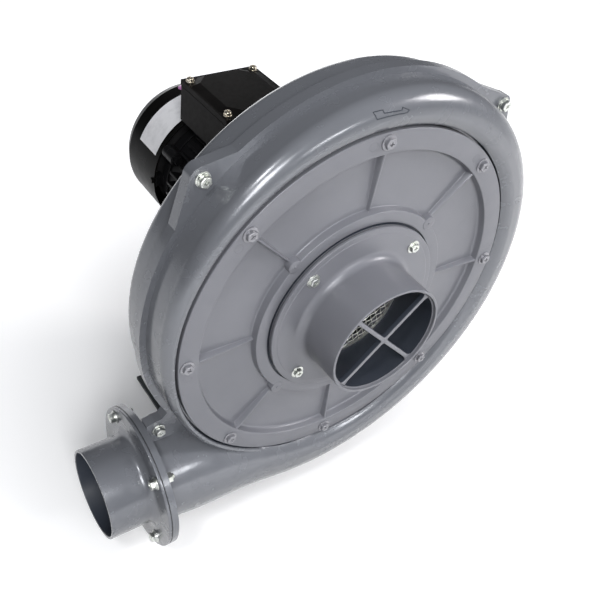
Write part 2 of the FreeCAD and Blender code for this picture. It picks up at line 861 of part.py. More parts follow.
def inlet_pipe():
    """Inlet spigot with its round flange, root fillet, stepped mouth and cast cross guard."""
    body = new_body("inlet_pipe")
    bore = d.inlet_pipe_radius - d.inlet_pipe_wall
    mouth_bore = d.inlet_pipe_radius - d.inlet_mouth_wall
    flange_back = d.cover_band_depth
    flange_front = flange_back - d.inlet_flange_thickness
    step = d.inlet_mouth_depth + d.inlet_mouth_step
    revolve(body, [
        (bore, flange_back),
        (bore, step),
        (mouth_bore, step),
        (mouth_bore, d.inlet_mouth_depth),
        (d.inlet_pipe_radius, d.inlet_mouth_depth),
        (d.inlet_pipe_radius, flange_front - 6.0),
        (d.inlet_pipe_radius + 1.8, flange_front - 1.8),
        (d.inlet_pipe_radius + 6.0, flange_front),
        (d.inlet_flange_radius - 0.8, flange_front),
        (d.inlet_flange_radius, flange_front + 0.8),
        (d.inlet_flange_radius, flange_back),
    ])
    reach = (bore + 1.0) * math.sqrt(0.5)
    half = d.guard_bar_width * math.sqrt(0.125)
    for sign in (1.0, -1.0):
        corners = [
            ((reach - half) * sign, reach + half),
            ((reach + half) * sign, reach - half),
            ((half - reach) * sign, -(reach + half)),
            (-(reach + half) * sign, half - reach),
        ]
        pad(body, outline(corners), step, d.guard_bar_length)
    hole = d.small_screw_radius + d.hole_clearance
    pocket(body, circles(ring_places(4, d.inlet_screw_circle, 45.0), hole), flange_front - 1.0,
           d.inlet_flange_thickness + 2.0)
    return body


def inlet_mesh():
    """Wire guard behind the inlet pipe: two crossing layers of wire in a flat rim."""
    rim_radius = float(d.inlet_pipe_radius) - float(d.inlet_pipe_wall)
    wire = float(d.mesh_wire)
    pitch = float(d.mesh_pitch)
    rear = float(d.cover_band_depth)
    front = rear - 2 * wire
    limit = cylinder(rim_radius - 0.6, front - 5.0, rear + 5.0)
    rim = cylinder(rim_radius - 0.3, front, rear).cut(cylinder(rim_radius - 2.5, front - 1, rear + 1))
    count = int(rim_radius // pitch)
    bars = []
    for index in range(-count, count + 1):
        place = index * pitch - wire / 2
        long = 2 * rim_radius
        bars.append(Part.makeBox(long, wire, wire, Vector(-rim_radius, front, place)))
        bars.append(Part.makeBox(wire, wire, long, Vector(place, front + wire, -rim_radius)))
    lattice = bars[0].multiFuse(bars[1:]).common(limit)
    lattice.rotate(Vector(0, 0, 0), ALONG_SHAFT, -22.0)
    return shaped("inlet_mesh", largest_solid(rim.fuse(lattice)))


# Outlet

def outlet_pipe():
    """Outlet spigot with its round flange and root fillet."""
    face = d.outlet_joint_offset + d.outlet_gasket_thickness
    body = new_body("outlet_pipe", x=-face, y=d.parting_depth, z=-d.outlet_axis_drop,
                    rotation=FreeCAD.Rotation(UP, 90))
    length = d.outlet_pipe_end_offset - face
    bore = d.outlet_pipe_radius - d.outlet_pipe_wall
    thickness = d.outlet_adapter_thickness
    revolve(body, [
        (bore, 0.0),
        (d.outlet_flange_radius, 0.0),
        (d.outlet_flange_radius, thickness - 0.8),
        (d.outlet_flange_radius - 0.8, thickness),
        (d.outlet_pipe_radius + 10.0, thickness),
        (d.outlet_pipe_radius + 5.0, thickness + 1.5),
        (d.outlet_pipe_radius + 1.5, thickness + 4.5),
        (d.outlet_pipe_radius, thickness + 10.0),
        (d.outlet_pipe_radius, length),
        (bore, length),
    ])
    hole = d.bolt_radius + d.hole_clearance
    pocket(body, circles(ring_places(4, d.outlet_bolt_circle, 45.0), hole), -1.0, thickness + 2.0)
    return body


def outlet_gasket():
    """Flat ring between the two outlet flanges."""
    body = new_body("outlet_gasket", x=-d.outlet_joint_offset, y=d.parting_depth,
                    z=-d.outlet_axis_drop, rotation=FreeCAD.Rotation(UP, 90))
    inner = d.outlet_duct_radius - d.casing_wall
    outer = d.outlet_flange_radius - 0.6
    rear = d.outlet_gasket_thickness
    revolve(body, [(inner, 0.0), (outer, 0.0), (outer, rear), (inner, rear)])
    hole = d.bolt_radius + d.hole_clearance
    pocket(body, circles(ring_places(4, d.outlet_bolt_circle, 45.0), hole), -1.0, 3.0)
    return body


# Fasteners

def hexagon(radius, height, base, direction):
    """Six-sided prism on a base point."""
    prism = Part.Face(Part.makePolygon([
        Vector(radius * math.cos(math.radians(60 * index)), radius * math.sin(math.radians(60 * index)), 0)
        for index in range(7)
    ])).extrude(Vector(0, 0, height))
    prism.Placement = FreeCAD.Placement(base, FreeCAD.Rotation(UP, direction))
    return prism


def screw(seat, direction, length, small=False):
    """Hexagon screw with a captive washer; the seat is the surface under the washer."""
    kind = "small" if small else "large"
    shank = {"small": d.small_screw_radius, "large": d.bolt_radius}[kind]
    head = {"small": d.small_head_radius, "large": d.bolt_head_radius}[kind]
    height = {"small": d.small_head_height, "large": d.bolt_head_height}[kind]
    washer = {"small": d.small_washer_radius, "large": d.bolt_washer_radius}[kind]
    thickness = float(d.washer_thickness)
    disc = Part.makeCylinder(float(washer), thickness, seat, direction * -1)
    stem = Part.makeCylinder(float(shank), float(length) + thickness, seat - direction * thickness, direction)
    crown = hexagon(float(head), float(height) + 0.2, seat - direction * (thickness - 0.2), direction * -1)
    return disc.fuse(stem).fuse(crown).removeSplitter()


def nut(seat, direction, bore, washer=True):
    """Hexagon nut with a washer under it; the seat is the surface it clamps."""
    thickness = float(d.washer_thickness)
    disc = Part.makeCylinder(float(d.bolt_washer_radius), thickness, seat, direction)
    block = hexagon(float(d.bolt_head_radius), float(d.nut_height), seat + direction * thickness, direction)
    hole = Part.makeCylinder(float(bore), 20.0, seat - direction * 5.0, direction)
    return disc.fuse(block).cut(hole)


def group(name, solids):
    """Identical fasteners as separate solids in one node."""
    return shaped(name, Part.makeCompound(solids))


def cover_screws():
    """Eight screws that hold the cover on its seat."""
    solids = []
    length = d.cover_band_thickness + d.cover_gasket_thickness + d.seat_thickness + 5.0
    for x, z in ring_places(8, d.cover_screw_circle):
        seat = Vector(float(x), float(d.cover_band_depth), float(z))
        solids.append(screw(seat, ALONG_SHAFT, length, small=True))
    return group("cover_screws", solids)


def inlet_screws():
    """Four screws that hold the inlet pipe's flange on the cover."""
    solids = []
    front = d.cover_band_depth - d.inlet_flange_thickness
    for x, z in ring_places(4, d.inlet_screw_circle, 45.0):
        seat = Vector(float(x), float(front), float(z))
        solids.append(screw(seat, ALONG_SHAFT, d.inlet_flange_thickness + d.cover_band_thickness, small=True))
    return group("inlet_screws", solids)


def shell_bolts():
    """Four bolts through the lugs of the half casings."""
    front = float(d.parting_depth) - float(d.lip_thickness)
    length = 2 * float(d.lip_thickness) + float(d.nut_height) + 3.0
    solids = []
    for centre in lug_centres():
        solids.append(screw(Vector(centre.x, front, centre.z), ALONG_SHAFT, length))
    return group("shell_bolts", solids)


def shell_nuts():
    """Nuts on the bolts of the lugs."""
    rear = float(d.parting_depth) + float(d.lip_thickness)
    solids = []
    for centre in lug_centres():
        solids.append(nut(Vector(centre.x, rear, centre.z), ALONG_SHAFT, d.bolt_radius))
    return group("shell_nuts", solids)


def outlet_bolts():
    """Four bolts through the outlet flanges, heads on the spigot's side."""
    head = float(d.outlet_gasket_thickness) + float(d.outlet_adapter_thickness)
    length = head + float(d.outlet_flange_thickness) + float(d.nut_height) + 3.0
    solids = []
    for centre in outlet_bolt_centres():
        solids.append(screw(centre - Vector(head, 0, 0), Vector(1, 0, 0), length))
    return group("outlet_bolts", solids)


def outlet_nuts():
    """Nuts behind the casing's outlet flange."""
    solids = []
    for centre in outlet_bolt_centres():
        seat = centre + Vector(float(d.outlet_flange_thickness), 0, 0)
        solids.append(nut(seat, Vector(1, 0, 0), d.bolt_radius))
    return group("outlet_nuts", solids)


# Impeller

def impeller_backplate():
    """Flat sheet disc that carries the blades."""
    body = new_body("impeller_backplate")
    front = d.impeller_back_depth
    rear = front + d.impeller_sheet
    bore = d.hub_radius + 0.1
    revolve(body, [(bore, front), (d.impeller_radius, front), (d.impeller_radius, rear), (bore, rear)])
    return body


def impeller_shroud():
    """Conical sheet ring over the blades, with a lip round the eye."""
    body = new_body("impeller_shroud")
    sheet = d.impeller_sheet
    revolve(body, [
        (d.impeller_eye_radius, d.shroud_eye_depth - 2.0),
        (d.impeller_eye_radius + sheet, d.shroud_eye_depth - 2.0),
        (d.impeller_eye_radius + sheet + 1.0, d.shroud_eye_depth),
        (d.impeller_radius, d.shroud_tip_depth),
        (d.impeller_radius, d.shroud_tip_depth + sheet),
        (d.impeller_eye_radius + 2.0, d.shroud_eye_depth + sheet),
        (d.impeller_eye_radius, d.shroud_eye_depth + sheet - 2.0),
    ])
    return body


def blade_profile(thickness):
    """Curved sheet blade seen along the shaft, swept back against the clockwise turn."""
    inner, outer = float(d.impeller_eye_radius) + 8.0, float(d.impeller_radius) - 1.0
    middle = (inner + outer) / 2
    front_side = [polar(inner, 0.0), polar(middle, 13.0), polar(outer, 34.0)]
    shift = math.degrees(thickness / middle)
    back_side = [polar(inner, shift * 1.4), polar(middle, 13.0 + shift), polar(outer, 34.0 + shift * 0.8)]
    edges = [
        Part.Arc(*front_side).toShape(),
        straight(front_side[2], back_side[2]),
        Part.Arc(back_side[2], back_side[1], back_side[0]).toShape(),
        straight(back_side[0], front_side[0]),
    ]
    return Part.Face(Part.Wire(edges))


def impeller_blades():
    """Backward curved blades, cut to the cone of the shroud and set on the back plate."""
    count = int(float(d.blade_count))
    front = float(d.shroud_eye_depth) - 10.0
    blade = blade_profile(float(d.blade_thickness))
    blade.translate(Vector(0, front, 0))
    blade = blade.extrude(Vector(0, float(d.impeller_back_depth) - front, 0))
    eye, sheet = float(d.impeller_eye_radius), float(d.impeller_sheet)
    tip = float(d.impeller_radius)
    cone = [
        Vector(0, float(d.shroud_eye_depth) + sheet, 0),
        Vector(eye + 2.0, float(d.shroud_eye_depth) + sheet, 0),
        Vector(tip, float(d.shroud_tip_depth) + sheet, 0),
        Vector(tip + 20.0, float(d.shroud_tip_depth) + sheet, 0),
        Vector(tip + 20.0, -60.0, 0),
        Vector(0, -60.0, 0),
    ]
    above = Part.Face(Part.makePolygon(cone + cone[:1])).revolve(Vector(0, 0, 0), ALONG_SHAFT, 360)
    blade = blade.cut(above)
    solids = []
    for index in range(count):
        turned = blade.copy()
        turned.rotate(Vector(0, 0, 0), ALONG_SHAFT, 360.0 * index / count)
        solids.append(turned)
    return group("impeller_blades", solids)


def impeller_hub():
    """Turned hub with a flange behind the back plate, bored and keyed for the shaft."""
    body = new_body("impeller_hub")
    bore = d.shaft_radius
    flange_front = d.impeller_back_depth + d.impeller_sheet
    flange_rear = flange_front + d.hub_flange_thickness
    rear = d.hub_front_depth + d.hub_length
    revolve(body, [
        (bore, d.hub_front_depth),
        (d.hub_radius - 1.5, d.hub_front_depth),
        (d.hub_radius, d.hub_front_depth + 1.5),
        (d.hub_radius, flange_front),
        (d.hub_flange_radius, flange_front),
        (d.hub_flange_radius, flange_rear),
        (d.hub_radius, flange_rear),
        (d.hub_radius, rear),
        (bore, rear),
    ])
    half = d.key_width / 2
    slot = outline([(-half, bore - 3.0), (half, bore - 3.0), (half, bore + 2.6), (-half, bore + 2.6)])
    pocket(body, slot, d.hub_front_depth - 1.0, d.hub_length + 2.0)
    return body


def hub_rivets():
    """Six rivets that hold the back plate on the hub's flange."""
    plate = float(d.impeller_back_depth)
    stack = float(d.impeller_sheet) + float(d.hub_flange_thickness)
    circle = (float(d.hub_radius) + float(d.hub_flange_radius)) / 2
    solids = []
    for x, z in ring_places(6, as_size(circle)):
        centre = Vector(float(x), 0, float(z))
        front_head = cylinder(4.2, plate - 2.0, plate, centre)
        rear_head = cylinder(4.2, plate + stack, plate + stack + 2.0, centre)
        solids.append(front_head.fuse(rear_head))
    heads = []
    for pair in solids:
        heads.extend(pair.Solids)
    return group("hub_rivets", heads)


def impeller_washer():
    """Thick washer that holds the hub on the shaft."""
    body = new_body("impeller_washer")
    rear = d.hub_front_depth
    front = rear - 3.0
    bore = d.bolt_radius + d.hole_clearance
    outer = d.hub_radius - 4.0
    revolve(body, [(bore, front), (outer, front), (outer, rear), (bore, rear)])
    return body


def impeller_bolt():
    """Bolt in the end of the shaft."""
    seat = Vector(0, float(d.hub_front_depth) - 3.0, 0)
    return shaped("impeller_bolt", screw(seat, ALONG_SHAFT, 20.0))


# Shaft, bearings and rotor

def motor_shaft():
    """Stepped shaft with the impeller seat, two bearing seats, the rotor seat and the fan seat."""
    body = new_body("motor_shaft")
    bolt = d.bolt_radius
    hole_end = d.shaft_front_depth + 22.0
    front_seat = d.front_bearing_depth
    rotor_front = d.stator_front_depth
    rotor_rear = rotor_front + d.stator_length
    rear_seat_end = d.rear_bearing_depth + d.bearing_width
    shoulder = d.bearing_bore_radius + 2.5
    revolve(body, [
        (bolt, d.shaft_front_depth + 3.0),
        (d.shaft_radius, d.shaft_front_depth + 3.0),
        (d.shaft_radius, front_seat - 6.0),
        (d.bearing_bore_radius, front_seat - 6.0),
        (d.bearing_bore_radius, front_seat + d.bearing_width),
        (shoulder, front_seat + d.bearing_width),
        (shoulder, rotor_front),
        (shoulder + 1.5, rotor_front),
        (shoulder + 1.5, rotor_rear),
        (shoulder, rotor_rear),
        (shoulder, d.rear_bearing_depth),
        (d.bearing_bore_radius, d.rear_bearing_depth),
        (d.bearing_bore_radius, rear_seat_end + 1.0),
        (d.fan_shaft_radius, rear_seat_end + 1.0),
        (d.fan_shaft_radius, d.shaft_end_depth),
        (0.0, d.shaft_end_depth),
        (0.0, hole_end),
        (bolt, hole_end),
    ])
    half = d.key_width / 2
    slot = outline([(-half, d.shaft_radius - 3.5), (half, d.shaft_radius - 3.5),
                    (half, d.shaft_radius + 2.0), (-half, d.shaft_radius + 2.0)])
    pocket(body, slot, d.hub_front_depth + 2.0, d.hub_length - 4.0)
    return body


def impeller_key():
    """Parallel key between the shaft and the hub."""
    body = new_body("impeller_key")
    half = d.key_width / 2
    top = d.shaft_radius + 2.5
    low = d.shaft_radius - 3.5
    pad(body, outline([(-half, low), (half, low), (half, top), (-half, top)]),
        d.hub_front_depth + 2.0, d.hub_length - 4.0)
    return body


def bearing_outer(name, front):
    """Outer ring of a sealed ball bearing."""
    body = new_body(name)
    rear = front + d.bearing_width
    inner = d.bearing_radius - 4.5
    revolve(body, [(inner, front), (d.bearing_radius, front), (d.bearing_radius, rear), (inner, rear)])
    return body


def bearing_inner(name, front):
    """Inner ring of a sealed ball bearing with its shields."""
    body = new_body(name)
    rear = front + d.bearing_width
    race = d.bearing_bore_radius + 4.0
    shield = d.bearing_radius - 4.5 - d.running_gap
    revolve(body, [
        (d.bearing_bore_radius, front),
        (race, front),
        (race, front + 0.6),
        (shield, front + 0.6),
        (shield, rear - 0.6),
        (race, rear - 0.6),
        (race, rear),
        (d.bearing_bore_radius, rear),
    ])
    return body


def shaft_seal():
    """Lip seal in the nose of the front end shield."""
    body = new_body("shaft_seal")
    front = d.motor_face_depth - d.motor_spigot_length + 1.0
    rear = front + 7.0
    inner = d.shaft_radius + d.running_gap
    outer = inner + 7.0
    revolve(body, [(inner, front), (outer, front), (outer, rear), (inner, rear)])
    return body


def rotor_core():
    """Laminated rotor with its end rings."""
    body = new_body("rotor_core")
    bore = d.bearing_bore_radius + 4.0
    front = d.stator_front_depth
    rear = front + d.stator_length
    outer = d.stator_bore_radius - d.air_gap
    ring_inner = outer - 14.0
    revolve(body, [
        (bore, front),
        (ring_inner, front),
        (ring_inner, front - 7.0),
        (outer - 1.0, front - 7.0),
        (outer - 1.0, front),
        (outer, front),
        (outer, rear),
        (outer - 1.0, rear),
        (outer - 1.0, rear + 7.0),
        (ring_inner, rear + 7.0),
        (ring_inner, rear),
        (bore, rear),
    ])
    return body


def cooling_fan():
    """Radial fan on the rear end of the shaft, behind the motor."""
    body = new_body("cooling_fan")
    hub = d.fan_shaft_radius + 8.0
    front = d.cowl_front_depth + 16.0
    disc_rear = front + 3.0
    rear = front + 24.0
    revolve(body, [
        (d.fan_shaft_radius, front),
        (d.fan_radius, front),
        (d.fan_radius, disc_rear),
        (hub, disc_rear),
        (hub, rear),
        (d.fan_shaft_radius, rear),
    ])
    blade = pad(body, outline([(hub - 1.0, -1.2), (d.fan_radius - 2.0, -1.2),
                               (d.fan_radius - 2.0, 1.2), (hub - 1.0, 1.2)]),
                disc_rear - 1.0, rear - disc_rear - 1.0)
    repeat_round(body, [blade], 8)
    return body


# Motor housing

def stator_core():
    """Laminated stator with twelve open slots."""
    body = new_body("stator_core")
    front = d.stator_front_depth
    rear = front + d.stator_length
    bore = d.stator_bore_radius
    outer = d.frame_bore_radius
    revolve(body, [(bore, front), (outer, front), (outer, rear), (bore, rear)])
    slot = pocket(body, outline(slot_corners(0.0)), front - 1.0, d.stator_length + 2.0)
    repeat_round(body, [slot], 12)
    return body


def slot_corners(clearance):
    """Outline of one stator slot, or of the coil side that fills it."""
    inner = d.stator_bore_radius + 3.0 + clearance
    outer = d.frame_bore_radius - 8.0 - clearance
    narrow = 3.4 - clearance
    wide = 5.4 - clearance
    return [(inner, -narrow), (outer, -wide), (outer, wide), (inner, narrow)]


def stator_windings():
    """Coil sides in the slots, joined by the end turns at both ends."""
    body = new_body("stator_windings")
    front = d.stator_front_depth
    rear = front + d.stator_length
    inner = d.stator_bore_radius + 3.4
    outer = d.frame_bore_radius - 6.0
    low = front - d.winding_overhang
    high = rear + d.winding_overhang
    revolve(body, [(inner, low), (outer, low), (outer, front - 0.6), (inner, front - 0.6)])
    side = pad(body, outline(slot_corners(0.3)), front - 1.0, d.stator_length + 2.0)
    repeat_round(body, [side], 12)
    revolve(body, [(inner, rear + 0.6), (outer, rear + 0.6), (outer, high), (inner, high)])
    return body


def front_endshield():
    """Flanged end shield: spigot in the casing, four bolt holes, bearing seat and frame spigot."""
    body = new_body("front_endshield")
    face = d.motor_face_depth
    seal = d.shaft_radius + d.running_gap + 7.0
    nose = face - d.motor_spigot_length
    seal_rear = nose + 8.0
    bearing_rear = d.front_bearing_depth + d.bearing_width
    flange_rear = face + d.motor_flange_thickness
    frame = d.frame_front_depth
    shell = d.frame_bore_radius + d.frame_wall
    revolve(body, [
        (seal, nose),
        (d.motor_spigot_radius, nose),
        (d.motor_spigot_radius, face),
        (d.motor_flange_radius, face),
        (d.motor_flange_radius, flange_rear),
        (shell + 4.0, flange_rear),
        (shell, flange_rear + 6.0),
        (shell, frame),
        (d.frame_bore_radius, frame),
        (d.frame_bore_radius, frame + 5.0),
        (d.frame_bore_radius - 5.0, frame + 5.0),
        (d.frame_bore_radius - 8.0, flange_rear + 3.0),
        (d.bearing_radius + 7.0, flange_rear + 3.0),
        (d.bearing_radius + 6.0, bearing_rear + 2.0),
        (d.bearing_radius, bearing_rear + 2.0),
        (d.bearing_radius, d.front_bearing_depth),
        (d.bearing_bore_radius + 2.5, d.front_bearing_depth),
        (d.bearing_bore_radius + 2.5, seal_rear),
        (seal, seal_rear),
    ])
    hole = d.motor_bolt_radius + d.hole_clearance
    pocket(body, circles(ring_places(4, d.motor_bolt_circle, 45.0), hole), face - 1.0,
           d.motor_flange_thickness + 2.0)
    return body


def tie_places():
    """Centres of the four long bolts that hold the rear end shield."""
    places = []
    angle = math.radians(float(d.tie_bolt_angle))
    across = d.tie_bolt_circle * math.cos(angle)
    up = d.tie_bolt_circle * math.sin(angle)
    for side in (1.0, -1.0):
        for level in (1.0, -1.0):
            places.append((across * side, up * level))
    return places


def motor_frame():
    """Finned frame with two feet, the pad of the terminal box and four lugs at its rear end."""
    body = new_body("motor_frame")
    front, rear = d.frame_front_depth, d.frame_rear_depth
    shell = d.frame_bore_radius + d.frame_wall
    revolve(body, [(d.frame_bore_radius, front), (shell, front), (shell, rear), (d.frame_bore_radius, rear)])
    half = d.fin_thickness / 2
    root, tip = shell - 1.0, d.fin_tip_radius
    fin = pad(body, outline([(root, -half), (tip, -half), (tip, half), (root, half)]),
              front + 1.0, rear - front - 14.0)
    repeat_round(body, [fin], float(d.fin_count))
    pad(body, outline(box_pad_corners()), d.box_front_depth + 8.0,
        d.frame_rear_depth - d.box_front_depth - 12.0)
    for side in (1.0, -1.0):
        pad(body, outline(foot_corners(side)), d.foot_bolt_front_depth - 13.0, d.foot_bolt_spacing + 26.0)
    pad(body, circles(tie_places(), d.tie_lug_radius), rear - 14.0, 14.0)
    pocket(body, circles(tie_places(), d.small_washer_radius + 0.4), rear - 26.0, 12.0)
    pocket(body, circles([(0.0, 0.0)], d.frame_bore_radius), front - 1.0, rear - front + 2.0)
    clear = d.small_screw_radius + d.hole_clearance
    pocket(body, circles(tie_places(), clear), rear - 16.0, 18.0)
    for side in (1.0, -1.0):
        sketch = sketch_on(body, "XY_Plane", -(d.motor_centre_height + 1.0))
        for index in (0, 1):
            depth = d.foot_bolt_front_depth + d.foot_bolt_spacing * index
            draw_circle(sketch, d.foot_bolt_half_width * side, depth, d.motor_bolt_radius)
        before = body.Shape.Volume
        feature = body.newObject("PartDesign::Pocket", "foot_hole")
        feature.Profile = sketch
        feature.Reversed = True
        bind(feature, "Length", d.foot_thickness + 3.0)
        DOC.recompute()
        if not body.Shape.Volume < before - 1e-6:
            raise ValueError("motor_frame: a foot hole removes nothing")
    return body


def box_pad_corners():
    """Section of the pad under the terminal box."""
    half = d.box_half_width - 10.0
    top = d.box_floor_height
    low = d.frame_bore_radius - 6.0
    return [(-half, low), (half, low), (half, top), (-half, top)]


def foot_corners(side):
    """Section of one foot of the frame."""
    ground = -d.motor_centre_height
    top = ground + d.foot_thickness
    outer = d.foot_bolt_half_width + 14.0
    return [
        ((d.foot_bolt_half_width - 16.0) * side, ground),
        (outer * side, ground),
        (outer * side, top),
        ((d.foot_bolt_half_width - 9.0) * side, top),
        ((d.foot_bolt_half_width - 12.0) * side, top + 34.0),
        ((d.foot_bolt_half_width - 20.0) * side, top + 34.0),
    ]


def rear_endshield():
    """Rear end shield with the bearing seat and four lugs."""
    body = new_body("rear_endshield")
    front = d.frame_rear_depth
    rear = d.cowl_front_depth + 3.0
    shell = d.frame_bore_radius + d.frame_wall
    seat_rear = d.rear_bearing_depth + d.bearing_width + 3.0
    shaft_gap = d.bearing_bore_radius + 1.0
    revolve(body, [
        (d.bearing_radius, d.rear_bearing_depth),
        (d.bearing_radius + 6.0, d.rear_bearing_depth),
        (d.bearing_radius + 7.0, front + 3.0),
        (d.frame_bore_radius - 4.0, front + 3.0),
        (d.frame_bore_radius - 4.0, front - 4.0),
        (d.frame_bore_radius, front - 4.0),
        (d.frame_bore_radius, front),
        (shell + 2.0, front),
        (shell + 2.0, rear - 2.0),
        (shell, rear),
        (shaft_gap, rear),
        (shaft_gap, seat_rear),
        (d.bearing_radius, seat_rear),
    ])
    pad(body, circles(tie_places(), d.tie_lug_radius), front, 8.0)
    inner = d.cowl_radius - d.cowl_wall - 0.4
    ear = pad(body, outline([(shell, -6.0), (inner, -6.0), (inner, 6.0), (shell, 6.0)]),
              d.box_rear_depth + 1.0, 12.0)
    hole = sketch_on(body, "YZ_Plane", inner + 1.0)
    draw_circle(hole, d.cowl_front_depth + 4.4, 0.0, d.cowl_screw_radius + d.hole_clearance)
    repeat_round(body, [ear, sink(body, hole, inner - shell - 1.0)], 4)
    clear = d.small_screw_radius + d.hole_clearance
    pocket(body, circles(tie_places(), clear), front - 1.0, rear - front)
    return body


def preload_washer():
    """Wave washer that presses on the rear bearing's outer ring."""
    body = new_body("preload_washer")
    front = d.rear_bearing_depth + d.bearing_width
    rear = front + 3.0
    inner = d.bearing_radius - 4.0
    outer = d.bearing_radius - 0.5
    revolve(body, [(inner, front), (outer, front), (outer, rear), (inner, rear)])
    return body


def tie_bolts():
    """Four bolts that hold the rear end shield on the frame."""
    solids = []
    seat_depth = float(d.frame_rear_depth) - 14.0
    for x, z in tie_places():
        solids.append(screw(Vector(float(x), seat_depth, float(z)), ALONG_SHAFT, 20.0, small=True))
    return group("tie_bolts", solids)


def flange_bolts():
    """Four bolts that hold the motor's flange on the casing, heads on the motor's side."""
    solids = []
    rear = float(d.motor_face_depth) + float(d.motor_flange_thickness)
    length = float(d.motor_flange_thickness) + float(d.casing_wall) + 3.0
    radius = float(d.motor_bolt_radius)
    for x, z in ring_places(4, d.motor_bolt_circle, 45.0):
        seat = Vector(float(x), rear, float(z))
        stem = Part.makeCylinder(radius, length, seat, ALONG_SHAFT * -1)
        solids.append(stem.fuse(hexagon(radius * 1.75, 6.4, seat, ALONG_SHAFT)))
    return group("flange_bolts", solids)


def fan_cowl():
    """Pressed steel cowl with a rolled rear corner and a slotted rear wall."""
    body = new_body("fan_cowl")
    front, rear = d.cowl_front_depth, d.cowl_rear_depth
    outer, wall, corner = d.cowl_radius, d.cowl_wall, d.cowl_corner
    inner = outer - wall
    revolve(body, [
        (inner, front),
        (outer, front),
        (outer, rear - corner),
        (outer - corner * 0.293, rear - corner * 0.293),
        (outer - corner, rear),
        (0.0, rear),
        (0.0, rear - wall),
        (outer - corner, rear - wall),
        (inner - (corner - wall) * 0.293, rear - wall - (corner - wall) * 0.293),
        (inner, rear - corner),
    ])
    places = [(d.cowl_radius * 0.0, d.cowl_radius * 0.0)]
    for count, share in ((6, 0.17), (12, 0.33), (18, 0.49), (24, 0.65)):
        places.extend(ring_places(count, d.cowl_radius * share, 90.0))
    pocket(body, circles(places, 4.0), rear - wall - 1.0, wall + 2.0)
    hole = sketch_on(body, "YZ_Plane", outer + 1.0)
    draw_circle(hole, front + 4.4, 0.0, d.cowl_screw_radius + d.hole_clearance)
    repeat_round(body, [sink(body, hole, wall + 3.0)], 4)
    return body


def cowl_screws():
    """Four screws that hold the cowl on the rear end shield."""
    solids = []
    for degrees in (0.0, 90.0, 180.0, 270.0):
        outward = polar(1.0, degrees)
        seat = outward * float(d.cowl_radius) + Vector(0, float(d.cowl_front_depth) + 4.4, 0)
        head = Part.makeCylinder(3.6, 2.4, seat, outward)
        stem = Part.makeCylinder(float(d.cowl_screw_radius), 6.0, seat + outward * 0.5, outward * -1)
        solids.append(head.fuse(stem))
    return group("cowl_screws", solids)


# Terminal box

def box_body(name, low):
    """Body drawn in level planes, from a height above the shaft."""
    body = new_body(name)
    return body, sketch_on(body, "XY_Plane", low)


def rectangle(half_width, front, rear):
    """Corners of a level rectangle that is centred across the motor."""
    return [(-half_width, front), (half_width, front), (half_width, rear), (-half_width, rear)]


def rise(body, sketch, height):
    """Raise a level sketch."""
    feature = body.newObject("PartDesign::Pad", f"{body.Name}_rise")
    feature.Profile = sketch
    bind(feature, "Length", height)
    DOC.recompute()
    return feature


def sink(body, sketch, depth):
    """Sink a level sketch downwards and see that it cuts."""
    before = body.Shape.Volume
    feature = body.newObject("PartDesign::Pocket", f"{body.Name}_sink")
    feature.Profile = sketch
    bind(feature, "Length", depth)
    DOC.recompute()
    if not body.Shape.Volume < before - 1e-6:
        raise ValueError(f"{body.Name}: a recess removes nothing")
    return feature


def lid_places():
    """Centres of the lid's four screws."""
    places = []
    for side in (1.0, -1.0):
        places.append((d.lid_screw_half_width * side, d.box_front_depth + d.lid_screw_inset))
        places.append((d.lid_screw_half_width * side, d.box_rear_depth - d.lid_screw_inset))
    return places


def terminal_box():
    """Open box on the frame with corner posts for the lid's screws and a threaded cable entry."""
    body, floor = box_body("terminal_box", d.box_floor_height)
    draw_outline(floor, rectangle(d.box_half_width, d.box_front_depth, d.box_rear_depth))
    rise(body, floor, d.box_rim_height - d.box_floor_height)
    room = sketch_on(body, "XY_Plane", d.box_rim_height + 1.0)
    draw_outline(room, rectangle(d.box_half_width - d.box_wall, d.box_front_depth + d.box_wall,
                                 d.box_rear_depth - d.box_wall))
    sink(body, room, d.box_rim_height - d.box_floor_height - d.box_wall + 1.0)
    posts = sketch_on(body, "XY_Plane", d.box_floor_height + 1.0)
    for u, v in lid_places():
        draw_circle(posts, u, v, 5.0)
    rise(body, posts, d.box_rim_height - d.box_floor_height - 1.0)
    holes = sketch_on(body, "XY_Plane", d.box_rim_height + 1.0)
    for u, v in lid_places():
        draw_circle(holes, u, v, 2.0)
    sink(body, holes, 16.0)
    entry = sketch_on(body, "YZ_Plane", d.box_half_width + 1.0)
    middle = (d.box_front_depth + d.box_rear_depth) / 2
    draw_circle(entry, middle, (d.box_floor_height + d.box_rim_height) / 2, 10.0)
    sink(body, entry, d.box_wall + 3.0)
    return body


def terminal_gasket():
    """Flat frame between the box and its lid."""
    body, rim = box_body("terminal_gasket", d.box_rim_height)
    draw_outline(rim, rectangle(d.box_half_width - 0.5, d.box_front_depth + 0.5, d.box_rear_depth - 0.5))
    inner = d.box_wall - 0.6
    draw_outline(rim, rectangle(d.box_half_width - inner, d.box_front_depth + inner,
                                d.box_rear_depth - inner))
    rise(body, rim, d.box_gasket_thickness)
    return body


def lid_octagon(half_width, front, rear, cut):
    """Corners of a level rectangle with its corners cut at an angle."""
    return [
        (-(half_width - cut), front), (half_width - cut, front),
        (half_width, front + cut), (half_width, rear - cut),
        (half_width - cut, rear), (-(half_width - cut), rear),
        (-half_width, rear - cut), (-half_width, front + cut),
    ]


